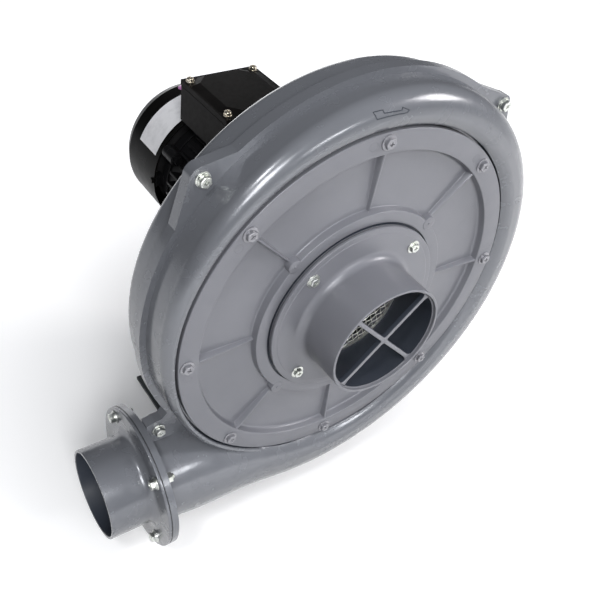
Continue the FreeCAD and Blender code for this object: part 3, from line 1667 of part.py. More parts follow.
def terminal_lid():
    """Lid with a raised eight-sided plateau whose sides slope and whose corners clear the screws."""
    base = d.box_rim_height + d.box_gasket_thickness
    body, plate = box_body("terminal_lid", base)
    front, rear, half = d.box_front_depth - 0.5, d.box_rear_depth + 0.5, d.box_half_width + 0.5
    draw_outline(plate, rectangle(half, front, rear))
    rise(body, plate, d.lid_thickness)
    low = sketch_on(body, "XY_Plane", base + d.lid_thickness - 0.1)
    draw_outline(low, lid_octagon(half - 1.5, front + 3.0, rear - 3.0, as_size(17.0)))
    high = sketch_on(body, "XY_Plane", base + d.lid_thickness + d.lid_plateau)
    draw_outline(high, lid_octagon(half - 12.0, front + 8.0, rear - 8.0, as_size(13.0)))
    plateau = body.newObject("PartDesign::AdditiveLoft", "lid_plateau")
    plateau.Profile = low
    plateau.Sections = [high]
    plateau.Ruled = True
    DOC.recompute()
    holes = sketch_on(body, "XY_Plane", base + d.lid_thickness + 1.0)
    for u, v in lid_places():
        draw_circle(holes, u, v, d.small_screw_radius)
    sink(body, holes, d.lid_thickness + 2.0)
    return body


def lid_screws():
    """Four pan head screws in the corners of the lid."""
    solids = []
    top = float(d.box_rim_height) + float(d.box_gasket_thickness) + float(d.lid_thickness)
    for x, y in lid_places():
        seat = Vector(float(x), float(y), top)
        washer = Part.makeCylinder(4.8, 1.6, seat, UP)
        head = Part.makeCylinder(4.0, 4.8, seat, UP)
        stem = Part.makeCylinder(2.0, float(d.lid_thickness) + 12.0, seat + UP * 0.5, UP * -1)
        solids.append(washer.fuse(head).fuse(stem))
    return group("lid_screws", solids)


def terminal_block():
    """Moulded terminal board on the floor of the box."""
    floor = d.box_floor_height + d.box_wall
    body, base = box_body("terminal_block", floor)
    middle = (d.box_front_depth + d.box_rear_depth) / 2
    draw_outline(base, [(-24.0, middle - 20.0), (24.0, middle - 20.0), (24.0, middle + 20.0),
                        (-24.0, middle + 20.0)])
    rise(body, base, 12.0)
    return body


def terminal_studs():
    """Six brass studs with nuts on the terminal board."""
    floor = float(d.box_floor_height) + float(d.box_wall) + 12.0
    middle = (float(d.box_front_depth) + float(d.box_rear_depth)) / 2
    solids = []
    for column in (-15.0, 0.0, 15.0):
        for row in (-9.0, 9.0):
            seat = Vector(column, middle + row, floor)
            solids.append(hexagon(4.4, 3.2, seat, UP).fuse(Part.makeCylinder(2.0, 12.0, seat, UP)))
    return group("terminal_studs", solids)


def cable_gland():
    """Cable gland in the side of the box, with no cable in it."""
    middle = (d.box_front_depth + d.box_rear_depth) / 2
    level = (d.box_floor_height + d.box_rim_height) / 2
    body = new_body("cable_gland", x=d.box_half_width, y=middle, z=level,
                    rotation=FreeCAD.Rotation(UP, -90))
    revolve(body, [
        (5.5, -(d.box_wall + 2.0)),
        (9.8, -(d.box_wall + 2.0)),
        (9.8, 0.0),
        (13.5, 0.0),
        (13.5, 6.0),
        (12.5, 8.0),
        (12.5, 19.0),
        (9.0, 24.0),
        (5.5, 24.0),
    ])
    return body


# Stand

def motor_stand():
    """Folded steel stand: outward feet on the floor, two leaning walls and a top under the motor."""
    body = new_body("motor_stand")
    floor = -d.axis_height
    top = -d.motor_centre_height
    plate = d.stand_plate
    foot, low, high = d.stand_foot_half_width, d.stand_wall_foot_half_width, d.stand_wall_top_half_width
    corners = [
        (foot, floor),
        (foot, floor + plate),
        (low, floor + plate),
        (high, top),
        (-high, top),
        (-low, floor + plate),
        (-foot, floor + plate),
        (-foot, floor),
        (-(low - plate), floor),
        (-(high - plate), top - plate),
        (high - plate, top - plate),
        (low - plate, floor),
    ]
    depth = d.stand_rear_depth - d.stand_front_depth
    pad(body, outline(corners), d.stand_front_depth, depth)
    side = sketch_on(body, "YZ_Plane", d.stand_foot_half_width + 1.0)
    draw_outline(side, [
        (d.stand_front_depth - 1.0, floor + plate + 5.0),
        (d.stand_front_depth + 8.0, floor + plate + 5.0),
        (d.stand_top_front_depth, floor + plate + 13.0),
        (d.stand_top_front_depth, top + 1.0),
        (d.stand_front_depth - 1.0, top + 1.0),
    ])
    sink(body, side, d.stand_foot_half_width * 2 + 2.0)
    middle = (d.stand_front_depth + d.stand_rear_depth) / 2
    level_holes(body, floor + plate + 1.0, plate + 2.0, d.stand_bolt_half_width, middle,
                d.stand_bolt_spacing, d.stand_hole_radius)
    middle = d.foot_bolt_front_depth + d.foot_bolt_spacing / 2
    level_holes(body, top + 1.0, plate + 2.0, d.foot_bolt_half_width, middle,
                d.foot_bolt_spacing, d.motor_bolt_radius)
    return body


def level_holes(body, height, depth, half_width, middle, spacing, radius):
    """Four upright holes at the corners of a rectangle."""
    sketch = sketch_on(body, "XY_Plane", height)
    for side in (1.0, -1.0):
        for end in (0.5, -0.5):
            draw_circle(sketch, half_width * side, middle + spacing * end, radius)
    return sink(body, sketch, depth)


def foot_bolt_seats():
    """Points on top of the motor's feet where the bolts sit."""
    seats = []
    height = -float(d.motor_centre_height)
    for side in (1.0, -1.0):
        for index in (0, 1):
            depth = float(d.foot_bolt_front_depth) + float(d.foot_bolt_spacing) * index
            seats.append(Vector(float(d.foot_bolt_half_width) * side, depth, height))
    return seats


def foot_bolts():
    """Four bolts that hold the motor's feet on the stand."""
    thickness = float(d.foot_thickness)
    radius = float(d.motor_bolt_radius) - 0.5
    solids = []
    for seat in foot_bolt_seats():
        head_seat = seat + UP * thickness
        stem = Part.makeCylinder(radius, thickness + 20.0, head_seat, UP * -1)
        solids.append(stem.fuse(hexagon(radius * 1.7, 5.5, head_seat, UP)))
    return group("foot_bolts", solids)


def foot_nuts():
    """Nuts under the stand's top plate."""
    radius = float(d.motor_bolt_radius) - 0.5
    solids = []
    for seat in foot_bolt_seats():
        base = seat - UP * float(d.stand_plate)
        block = hexagon(radius * 1.7, 6.5, base, UP * -1)
        solids.append(block.cut(Part.makeCylinder(radius, 12.0, base + UP * 1.0, UP * -1)))
    return group("foot_nuts", solids)


def build():
    """Make every sub-part."""
    return [
        front_shell(), back_shell(),
        cover_plate(), cover_gasket(), cover_screws(),
        inlet_pipe(), inlet_mesh(), inlet_screws(),
        outlet_pipe(), outlet_gasket(), outlet_bolts(), outlet_nuts(),
        shell_bolts(), shell_nuts(),
        impeller_backplate(), impeller_shroud(), impeller_blades(), impeller_hub(), hub_rivets(),
        impeller_washer(), impeller_bolt(), impeller_key(),
        motor_shaft(), rotor_core(), cooling_fan(), shaft_seal(),
        bearing_outer("front_bearing_outer", d.front_bearing_depth),
        bearing_inner("front_bearing_inner", d.front_bearing_depth),
        bearing_outer("rear_bearing_outer", d.rear_bearing_depth),
        bearing_inner("rear_bearing_inner", d.rear_bearing_depth),
        preload_washer(),
        stator_core(), stator_windings(),
        front_endshield(), motor_frame(), rear_endshield(), tie_bolts(), flange_bolts(),
        fan_cowl(), cowl_screws(),
        terminal_box(), terminal_gasket(), terminal_lid(), lid_screws(),
        terminal_block(), terminal_studs(), cable_gland(),
        motor_stand(), foot_bolts(), foot_nuts(),
    ]


def check(subparts):
    """Stop if any object failed or any sub-part has no sound shape."""
    for item in DOC.Objects:
        if "Invalid" in item.State or "Error" in item.State:
            raise ValueError(f"{item.Name} failed: {item.State}")
    for item in subparts:
        if item.Shape.isNull() or not item.Shape.isValid():
            raise ValueError(f"{item.Label} has no valid shape")


def write(subparts):
    """Write each sub-part to its own file."""
    os.makedirs("parts", exist_ok=True)
    for item in subparts:
        item.Shape.exportStep(os.path.join("parts", f"{item.Label}.step"))


def main():
    """Build, check and write the part."""
    subparts = build()
    DOC.recompute()
    check(subparts)
    write(subparts)
    print(f"{len(subparts)} sub-parts written")


main()
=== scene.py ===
"""Looks of a centrifugal turbo blower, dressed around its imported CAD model.

Sizes are millimetres about the shaft axis: X to the right seen from the inlet, Y along the shaft
towards the motor, Z up, and Y = 0 at the heads of the cover screws. SHAFT_FRAME carries a finished
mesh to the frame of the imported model, in metres.
"""

import json
import logging
import math
from dataclasses import dataclass, field
from enum import Enum
from typing import Callable, Iterable

import bmesh
import bpy
from mathutils import Matrix, Vector

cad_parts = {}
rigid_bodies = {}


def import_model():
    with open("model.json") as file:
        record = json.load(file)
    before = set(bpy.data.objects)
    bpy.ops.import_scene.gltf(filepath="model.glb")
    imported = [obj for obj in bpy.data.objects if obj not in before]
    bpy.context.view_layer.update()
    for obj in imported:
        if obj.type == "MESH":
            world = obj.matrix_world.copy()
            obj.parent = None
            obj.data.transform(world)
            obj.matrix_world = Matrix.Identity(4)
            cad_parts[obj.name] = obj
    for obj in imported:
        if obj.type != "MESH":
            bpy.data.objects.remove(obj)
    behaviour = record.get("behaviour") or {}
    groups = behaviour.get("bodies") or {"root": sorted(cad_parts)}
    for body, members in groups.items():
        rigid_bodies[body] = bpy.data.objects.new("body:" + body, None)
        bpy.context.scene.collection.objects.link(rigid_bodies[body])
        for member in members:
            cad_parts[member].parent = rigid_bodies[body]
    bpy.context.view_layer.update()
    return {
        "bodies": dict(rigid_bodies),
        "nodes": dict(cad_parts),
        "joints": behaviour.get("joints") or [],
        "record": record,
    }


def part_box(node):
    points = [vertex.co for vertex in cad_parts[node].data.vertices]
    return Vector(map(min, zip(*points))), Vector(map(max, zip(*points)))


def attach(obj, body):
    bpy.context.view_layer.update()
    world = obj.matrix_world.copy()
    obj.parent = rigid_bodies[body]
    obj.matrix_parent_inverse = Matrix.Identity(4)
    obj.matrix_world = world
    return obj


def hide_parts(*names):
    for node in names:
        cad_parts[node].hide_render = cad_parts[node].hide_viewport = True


LOG = logging.getLogger("turbo_blower")
MILLIMETRE = 0.001
COVER_OFFSET = 156.5
SHAFT_HEIGHT = 285.0
SHAFT_FRAME = Matrix.Scale(MILLIMETRE, 4) @ Matrix.Translation((0.0, -COVER_OFFSET, SHAFT_HEIGHT))
STILL = Matrix.Identity(4)
NEAR = 0.001
HOUSING = "housing"
FULL_TURN = 2.0 * math.pi
Pair = tuple[float, float]
Colour = tuple[float, float, float]
Mesh = bmesh.types.BMesh
Socket = bpy.types.NodeSocket


class Toward(Enum):
    """Directions in which a fastener's head or a spigot points."""

    INLET = (0.0, -1.0, 0.0)
    MOTOR = (0.0, 1.0, 0.0)
    LEFT = (-1.0, 0.0, 0.0)
    RIGHT = (1.0, 0.0, 0.0)
    UP = (0.0, 0.0, 1.0)

    def vector(self) -> Vector:
        """The direction as a vector."""
        return Vector(self.value)


# Finishes


class Bench:
    """A material's node tree with short calls for the nodes that the finishes share."""

    def __init__(self, name: str) -> None:
        """Start a material with a principled shader.

        Args:
            name: Name of the material.
        """
        self.material = bpy.data.materials.new(name)
        self.material.use_nodes = True
        self.nodes = self.material.node_tree.nodes
        self.links = self.material.node_tree.links
        self.shader = self.nodes["Principled BSDF"]
        self.coords = self.nodes.new("ShaderNodeTexCoord").outputs["Object"]

    def add(self, kind: str, settings: dict | None = None, **inputs: object) -> bpy.types.Node:
        """Add a node, set its properties and fill or link its inputs.

        Args:
            kind: Node type.
            settings: Properties of the node itself.
            **inputs: Socket values or sockets to link, with spaces written as underscores.

        Returns:
            The new node.
        """
        node = self.nodes.new(kind)
        for key, value in (settings or {}).items():
            setattr(node, key, value)
        for key, value in inputs.items():
            self.feed(node.inputs[key.replace("_", " ")], value)
        return node

    def feed(self, socket: Socket, value: object) -> None:
        """Link a socket to another, or give it a constant."""
        if isinstance(value, Socket):
            self.links.new(value, socket)
        else:
            socket.default_value = value

    def noise(self, scale: float, detail: float = 2.0, stretch: Colour | None = None) -> Socket:
        """Noise on object coordinates.

        Args:
            scale: Cells per metre.
            detail: Octaves.
            stretch: Scale of each axis, where the noise is drawn out along one.

        Returns:
            The noise value.
        """
        source = self.coords
        if stretch:
            source = self.add("ShaderNodeMapping", Vector=source, Scale=stretch).outputs["Vector"]
        return self.add("ShaderNodeTexNoise", Vector=source, Scale=scale, Detail=detail).outputs["Fac"]

    def span(self, value: Socket, low: float, high: float, start: float = 0.3, end: float = 0.7) -> Socket:
        """Map a value from start..end to low..high."""
        node = self.add("ShaderNodeMapRange", Value=value, From_Min=start, From_Max=end,
                        To_Min=low, To_Max=high)
        return node.outputs["Result"]

    def around(self, value: float, below: float, above: float, scale: float, detail: float = 2.0) -> Socket:
        """Noise that wavers from a little below a value to a little above it."""
        return self.span(self.noise(scale, detail), value - below, value + above)

    def mix(self, share: object, first: object, second: object) -> Socket:
        """Mix two colours."""
        node = self.nodes.new("ShaderNodeMix")
        node.data_type = "RGBA"
        self.feed(node.inputs[0], share)
        for socket, value in ((node.inputs[6], first), (node.inputs[7], second)):
            self.feed(socket, (*value, 1.0) if isinstance(value, tuple) else value)
        return node.outputs[2]

    def bump(self, height: Socket, depth: float, edge: float = 0.0) -> None:
        """Give the shader a bump, over edges that are rounded by the given radius.

        Args:
            height: Height between 0 and 1.
            depth: Depth in metres.
            edge: Radius of the rounding of sharp edges, in metres.
        """
        node = self.add("ShaderNodeBump", Height=height, Strength=1.0, Distance=depth)
        if edge:
            rounding = self.add("ShaderNodeBevel", {"samples": 6}, Radius=edge)
            self.links.new(rounding.outputs["Normal"], node.inputs["Normal"])
        self.links.new(node.outputs["Normal"], self.shader.inputs["Normal"])

    def set(self, **inputs: object) -> None:
        """Fill or link sockets of the shader."""
        for key, value in inputs.items():
            self.feed(self.shader.inputs[key.replace("_", " ")], value)


def lighter(colour: Colour, factor: float) -> Colour:
    """The colour with every channel scaled."""
    return tuple(min(1.0, channel * factor) for channel in colour)


@dataclass(frozen=True)
class Finish:
    """What every finish has: its material slot, its colour and its roughness."""

    slot: str
    colour: Colour
    roughness: float = 0.4

    def dress(self, bench: Bench) -> None:
        """Wire the finish on a bench."""
        raise NotImplementedError

    def material(self) -> bpy.types.Material:
        """The finish's material, made once."""
        name = f"{type(self).__name__}_{self.slot}"
        found = bpy.data.materials.get(name)
        if found is None:
            bench = Bench(name)
            self.dress(bench)
            found = bench.material
        return found


@dataclass(frozen=True)
class Enamel(Finish):
    """Sprayed paint with orange peel, slight mottling and rounded edges."""

    metallic: float = 0.0
    peel_scale: float = 520.0
    peel_depth: float = 0.00001
    mottling: float = 0.10
    edge: float = 0.0009
    coat: float = 0.0
    coat_roughness: float = 0.14
    gloss: float = 0.5
    cloud_scale: float = 11.0
    lustre_scale: float = 60.0

    def dress(self, bench: Bench) -> None:
        """Wire the paint."""
        cloud = bench.span(bench.noise(self.cloud_scale, 4.0), 0.0, 1.0)
        darker, paler = (lighter(self.colour, 1.0 + sign * self.mottling) for sign in (-1, 1))
        bench.set(
            Base_Color=bench.mix(cloud, darker, paler),
            Roughness=bench.around(self.roughness, 0.05, 0.07, self.lustre_scale, 3.0),
            Metallic=self.metallic,
            Specular_IOR_Level=self.gloss,
            Coat_Weight=self.coat,
            Coat_Roughness=self.coat_roughness,
        )
        peel = bench.mix(0.35, bench.noise(self.peel_scale, 2.0), bench.noise(self.peel_scale * 0.22, 2.0))
        bench.bump(peel, self.peel_depth, self.edge)


@dataclass(frozen=True)
class Metal(Finish):
    """Plain or plated metal with faint scratches along one axis and uneven lustre."""

    scratch: Colour = (1.0, 1.0, 1.0)
    scratch_scale: float = 900.0
    scratch_depth: float = 0.00002
    tint: Colour = (1.0, 1.0, 1.0)
    edge: float = 0.0003
    tint_scale: float = 160.0
    lustre_scale: float = 420.0

    def dress(self, bench: Bench) -> None:
        """Wire the metal."""
        lustre = bench.span(bench.noise(self.tint_scale, 3.0), 0.0, 1.0)
        tinted = tuple(channel * share for channel, share in zip(self.colour, self.tint))
        bench.set(
            Base_Color=bench.mix(lustre, self.colour, tinted),
            Metallic=1.0,
            Roughness=bench.around(self.roughness, 0.06, 0.08, self.lustre_scale),
        )
        bench.bump(bench.noise(self.scratch_scale, 3.0, self.scratch), self.scratch_depth, self.edge)


@dataclass(frozen=True)
class Stack(Finish):
    """Laminations or wound wire: fine bands along the shaft or round it."""

    bands: float = 260.0
    direction: str = "Y"
    metallic: float = 0.7
    band_depth: float = 0.0002

    def dress(self, bench: Bench) -> None:
        """Wire the bands."""
        wave = bench.add(
            "ShaderNodeTexWave", {"wave_type": "BANDS", "bands_direction": self.direction},
            Vector=bench.coords, Scale=self.bands, Distortion=0.4, Detail=1.0,
        )
        mark = wave.outputs["Fac"]
        bench.set(
            Base_Color=bench.mix(mark, lighter(self.colour, 0.55), self.colour),
            Metallic=self.metallic,
            Roughness=self.roughness,
        )
        bench.bump(mark, self.band_depth)


@dataclass(frozen=True)
class Moulding(Finish):
    """Moulded plastic or rubber with a fine spark-eroded grain."""

    grain_scale: float = 1600.0
    grain_depth: float = 0.00003
    gloss: float = 0.5
    edge: float = 0.0005
    tone_scale: float = 35.0
    lustre_scale: float = 200.0

    def dress(self, bench: Bench) -> None:
        """Wire the moulded grain."""
        tone = bench.span(bench.noise(self.tone_scale, 3.0), 0.0, 1.0)
        bench.set(
            Base_Color=bench.mix(tone, lighter(self.colour, 0.85), lighter(self.colour, 1.2)),
            Roughness=bench.around(self.roughness, 0.05, 0.06, self.lustre_scale),
            Specular_IOR_Level=self.gloss,
        )
        bench.bump(bench.noise(self.grain_scale, 2.0), self.grain_depth, self.edge)


@dataclass(frozen=True)
class Film(Finish):
    """Film of a plate or sticker: smooth, slightly wavy, faintly soiled."""

    soil_scale: float = 90.0
    wave_scale: float = 45.0
    wave_depth: float = 0.0002

    def dress(self, bench: Bench) -> None:
        """Wire the film."""
        soil = bench.span(bench.noise(self.soil_scale, 4.0), 0.0, 1.0, 0.45, 0.75)
        bench.set(
            Base_Color=bench.mix(soil, self.colour, lighter(self.colour, 0.82)),
            Roughness=self.roughness,
            Metallic=0.1,
            Coat_Weight=0.3,
        )
        bench.bump(bench.noise(self.wave_scale, 1.0), self.wave_depth)


class Finishes(Enum):
    """Every finish of the blower."""

    CASTING = Enamel("grey_casting", (0.160, 0.167, 0.184), 0.23, metallic=0.25, mottling=0.04, edge=0.0,
                     coat=0.22, gloss=0.45)
    COVER = Enamel("cover_grey", (0.186, 0.189, 0.210), 0.33, metallic=0.12, mottling=0.03)
    # Dark paint laid where shade falls, as painted shade: inside the bores, in the cover's groove, in the
    # gap round the cover and along the arrow's line.
    PAINTED_SHADE = Enamel("dark_bore", (0.034, 0.040, 0.053), 0.40, gloss=0.3)
    PAINTED_SCREW = Enamel("grey_screw", (0.24, 0.24, 0.26), 0.30, metallic=0.4, edge=0.0003, coat=0.25)
    ZINC = Metal("zinc_screw", (0.58, 0.59, 0.58), 0.32, tint=(0.96, 0.98, 0.90))
    GASKET = Moulding("gasket_black", (0.018, 0.018, 0.02), 0.6)
    # The wire's colour is raised near white: partly the wire's own bright zinc, partly a painted highlight.
    WIRE = Metal("mesh_wire", (0.95, 0.95, 0.93), 0.45, tint=(1.0, 0.99, 0.93), edge=0.0)
    # The impeller's bare aluminium, its colour darkened far below bare metal as painted shade behind the
    # guard.
    ALUMINIUM = Metal("bare_aluminium", (0.10, 0.10, 0.105), 0.50, scratch=(1.0, 0.15, 1.0))
    MOTOR = Enamel("motor_black", (0.006, 0.006, 0.0065), 0.34, peel_depth=0.00005, gloss=0.12)
    COWL = Enamel("cowl_black", (0.004, 0.0038, 0.0035), 0.30, peel_depth=0.00005, gloss=0.05)
    BOX = Moulding("box_black", (0.006, 0.0054, 0.0052), 0.40, gloss=0.03)
    STEEL = Metal("machined_steel", (0.52, 0.52, 0.53), 0.28, scratch=(1.0, 0.05, 1.0))
    LAMINATION = Stack("lamination_steel", (0.26, 0.26, 0.27), 0.45)
    COPPER = Stack("winding_copper", (0.50, 0.20, 0.075), 0.38, bands=180.0, direction="Z", metallic=0.6)
    FAN = Moulding("fan_plastic", (0.025, 0.025, 0.026), 0.42)
    BOARD = Moulding("terminal_board", (0.06, 0.035, 0.02), 0.45)
    BRASS = Metal("brass", (0.62, 0.45, 0.17), 0.28)
    STAND = Enamel("stand_paint", (0.022, 0.026, 0.027), 0.42, peel_depth=0.00005, mottling=0.15)
    PLATE = Film("plate_film", (0.90, 0.90, 0.92), 0.38)
    STICKER = Film("round_sticker", (0.52, 0.22, 0.48), 0.30)
    DARK_SCREW = Metal("lid_screw", (0.62, 0.58, 0.50), 0.26, tint=(0.95, 0.9, 0.8))

    def material(self) -> bpy.types.Material:
        """The finish's material."""
        return self.value.material()


# Modelling


@dataclass
class Corner:
    """Corner of a turned outline, with the radius that rounds it off."""

    radius: float
    depth: float
    fillet: float = 0.0
    segments: int = 4

    def holds(self, spot: Vector) -> bool:
        """Whether a point lies on the circle that the corner turns into."""
        return abs(math.hypot(spot.x, spot.z) - self.radius) < 0.01 and abs(spot.y - self.depth) < 0.01


def edges_where(bm: Mesh, test: Callable[[Vector], bool]) -> list[bmesh.types.BMEdge]:
    """Edges both of whose ends pass a test."""
    return [edge for edge in bm.edges if all(test(vert.co) for vert in edge.verts)]


def verts_of(items: Iterable[object]) -> list[bmesh.types.BMVert]:
    """The vertices among parts of a mesh."""
    return [item for item in items if isinstance(item, bmesh.types.BMVert)]


def top_face(bm: Mesh) -> bmesh.types.BMFace:
    """The highest face, and the largest of them where several are as high."""
    bm.faces.ensure_lookup_table()
    return max(bm.faces, key=lambda face: (round(face.calc_center_median().z, 3), face.calc_area()))


def face_out(bm: Mesh) -> None:
    """Turn every face outward."""
    bmesh.ops.recalc_face_normals(bm, faces=bm.faces)


def round_off(bm: Mesh, edges: list, width: float, segments: int = 3) -> None:
    """Bevel edges with the given width."""
    bmesh.ops.bevel(
        bm, geom=edges, offset=width, offset_type="OFFSET", segments=segments,
        profile=0.5, affect="EDGES", material=-1, clamp_overlap=True,
    )


def turned(corners: list[Corner], steps: int = 128) -> Mesh:
    """Turn a closed outline about the Y axis and round off its corners.

    Args:
        corners: The outline in order, as radius and depth.
        steps: Segments round the axis.

    Returns:
        A closed mesh.
    """
    bm = bmesh.new()
    verts = [bm.verts.new((corner.radius, corner.depth, 0.0)) for corner in corners]
    edges = [bm.edges.new((verts[index - 1], verts[index])) for index in range(len(verts))]
    bmesh.ops.spin(
        bm, geom=verts + edges, cent=(0, 0, 0), axis=(0, 1, 0), dvec=(0, 0, 0),
        angle=FULL_TURN, steps=steps, use_merge=True, use_duplicate=False,
    )
    bmesh.ops.remove_doubles(bm, verts=bm.verts, dist=0.0005)
    face_out(bm)
    for corner in corners:
        if corner.fillet:
            round_off(bm, edges_where(bm, corner.holds), corner.fillet, corner.segments)
    return bm


def drum(radius: float, height: float, segments: int = 32, chamfer: float = 0.0) -> Mesh:
    """Upright disc or prism standing on the XY plane.

    Args:
        radius: Radius to its corners.
        height: Height.
        segments: Sides.
        chamfer: Rounding of its top edge.

    Returns:
        A closed mesh.
    """
    bm = bmesh.new()
    bmesh.ops.create_cone(
        bm, cap_ends=True, segments=segments, radius1=radius, radius2=radius, depth=height,
        matrix=Matrix.Translation((0, 0, height / 2)),
    )
    if chamfer:
        round_off(bm, edges_where(bm, lambda spot: spot.z > height - NEAR), chamfer, 2)
    return bm


def aim(place: Vector, toward: Vector, turn: float = 0.0) -> Matrix:
    """Matrix that stands a mesh built along +Z at a place, pointing in a direction."""
    pointed = toward.to_track_quat("Z", "Y").to_matrix().to_4x4()
    return Matrix.Translation(place) @ pointed @ Matrix.Rotation(turn, 4, "Z")


def joined(parts: Iterable[tuple[Mesh, Matrix]]) -> Mesh:
    """Gather placed meshes into one and free them."""
    whole = bmesh.new()
    for bm, matrix in parts:
        mesh = bpy.data.meshes.new("gathered")
        bmesh.ops.transform(bm, matrix=matrix, verts=bm.verts)
        bm.to_mesh(mesh)
        whole.from_mesh(mesh)
        bpy.data.meshes.remove(mesh)
        bm.free()
    return whole


def placed(name: str, data: bpy.types.ID) -> bpy.types.Object:
    """Put a mesh, lamp or camera in the scene."""
    obj = bpy.data.objects.new(name, data)
    bpy.context.scene.collection.objects.link(obj)
    return obj


def piece(name: str, bm: Mesh, finish: Finishes, replaces: Iterable[str] = (),
          sharp: float = 32.0) -> bpy.types.Object:
    """Turn a finished mesh into a dressed piece that rides on the housing.

    Args:
        name: Name of the piece.
        bm: Mesh in millimetres about the shaft, freed here.
        finish: Its finish.
        replaces: CAD nodes it stands for.
        sharp: Angle in degrees over which an edge stays crisp.

    Returns:
        The new object.
    """
    bmesh.ops.transform(bm, matrix=SHAFT_FRAME, verts=bm.verts)
    mesh = bpy.data.meshes.new(name)
    bm.to_mesh(mesh)
    bm.free()
    for polygon in mesh.polygons:
        polygon.use_smooth = True
    mesh.set_sharp_from_angle(angle=math.radians(sharp))
    mesh.materials.append(finish.material())
    obj = placed(name, mesh)
    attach(obj, HOUSING)
    if replaces:
        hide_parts(*replaces)
    LOG.info("%s: %d faces", name, len(mesh.polygons))
    return obj


def repaint(obj: bpy.types.Object, finish: Finishes, test: Callable[[Vector, Vector], bool]) -> None:
    """Give the faces that pass a test of their centre, in metres, and normal another finish."""
    obj.data.materials.append(finish.material())
    index = len(obj.data.materials) - 1
    for polygon in obj.data.polygons:
        if test(polygon.center, polygon.normal):
            polygon.material_index = index


def shaft_radius(spot: Vector) -> float:
    """Distance in millimetres of a point of the finished frame from the shaft axis."""
    return math.hypot(spot.x, spot.z - SHAFT_HEIGHT * MILLIMETRE) / MILLIMETRE


def shaft_depth(spot: Vector) -> float:
    """Depth in millimetres of a point of the finished frame along the shaft."""
    return spot.y / MILLIMETRE + COVER_OFFSET


def swept(paths: Iterable[list[Vector]], radius: float, sides: int = 1) -> Mesh:
    """Round wires along open paths.

    Args:
        paths: Points of each wire.
        radius: Radius of the wire.
        sides: Roundness of the wire's section.

    Returns:
        The wires in one mesh.
    """
    data = bpy.data.curves.new("wire_path", "CURVE")
    data.dimensions = "3D"
    data.bevel_depth = radius
    data.bevel_resolution = sides
    data.use_fill_caps = True
    for path in paths:
        spline = data.splines.new("POLY")
        spline.points.add(len(path) - 1)
        for point, spot in zip(spline.points, path):
            point.co = (*spot, 1.0)
    holder = bpy.data.objects.new("wire_path", data)
    mesh = bpy.data.meshes.new_from_object(holder)
    bm = bmesh.new()
    bm.from_mesh(mesh)
    bpy.data.objects.remove(holder)
    bpy.data.curves.remove(data)
    bpy.data.meshes.remove(mesh)
    return bm


def round_places(count: int, radius: float, first: float, depth: float) -> list[Vector]:
    """Places evenly spaced on a circle about the shaft."""
    places = []
    for index in range(count):
        angle = math.radians(first + 360.0 * index / count)
        places.append(Vector((radius * math.cos(angle), depth, radius * math.sin(angle))))
    return places


# Fasteners


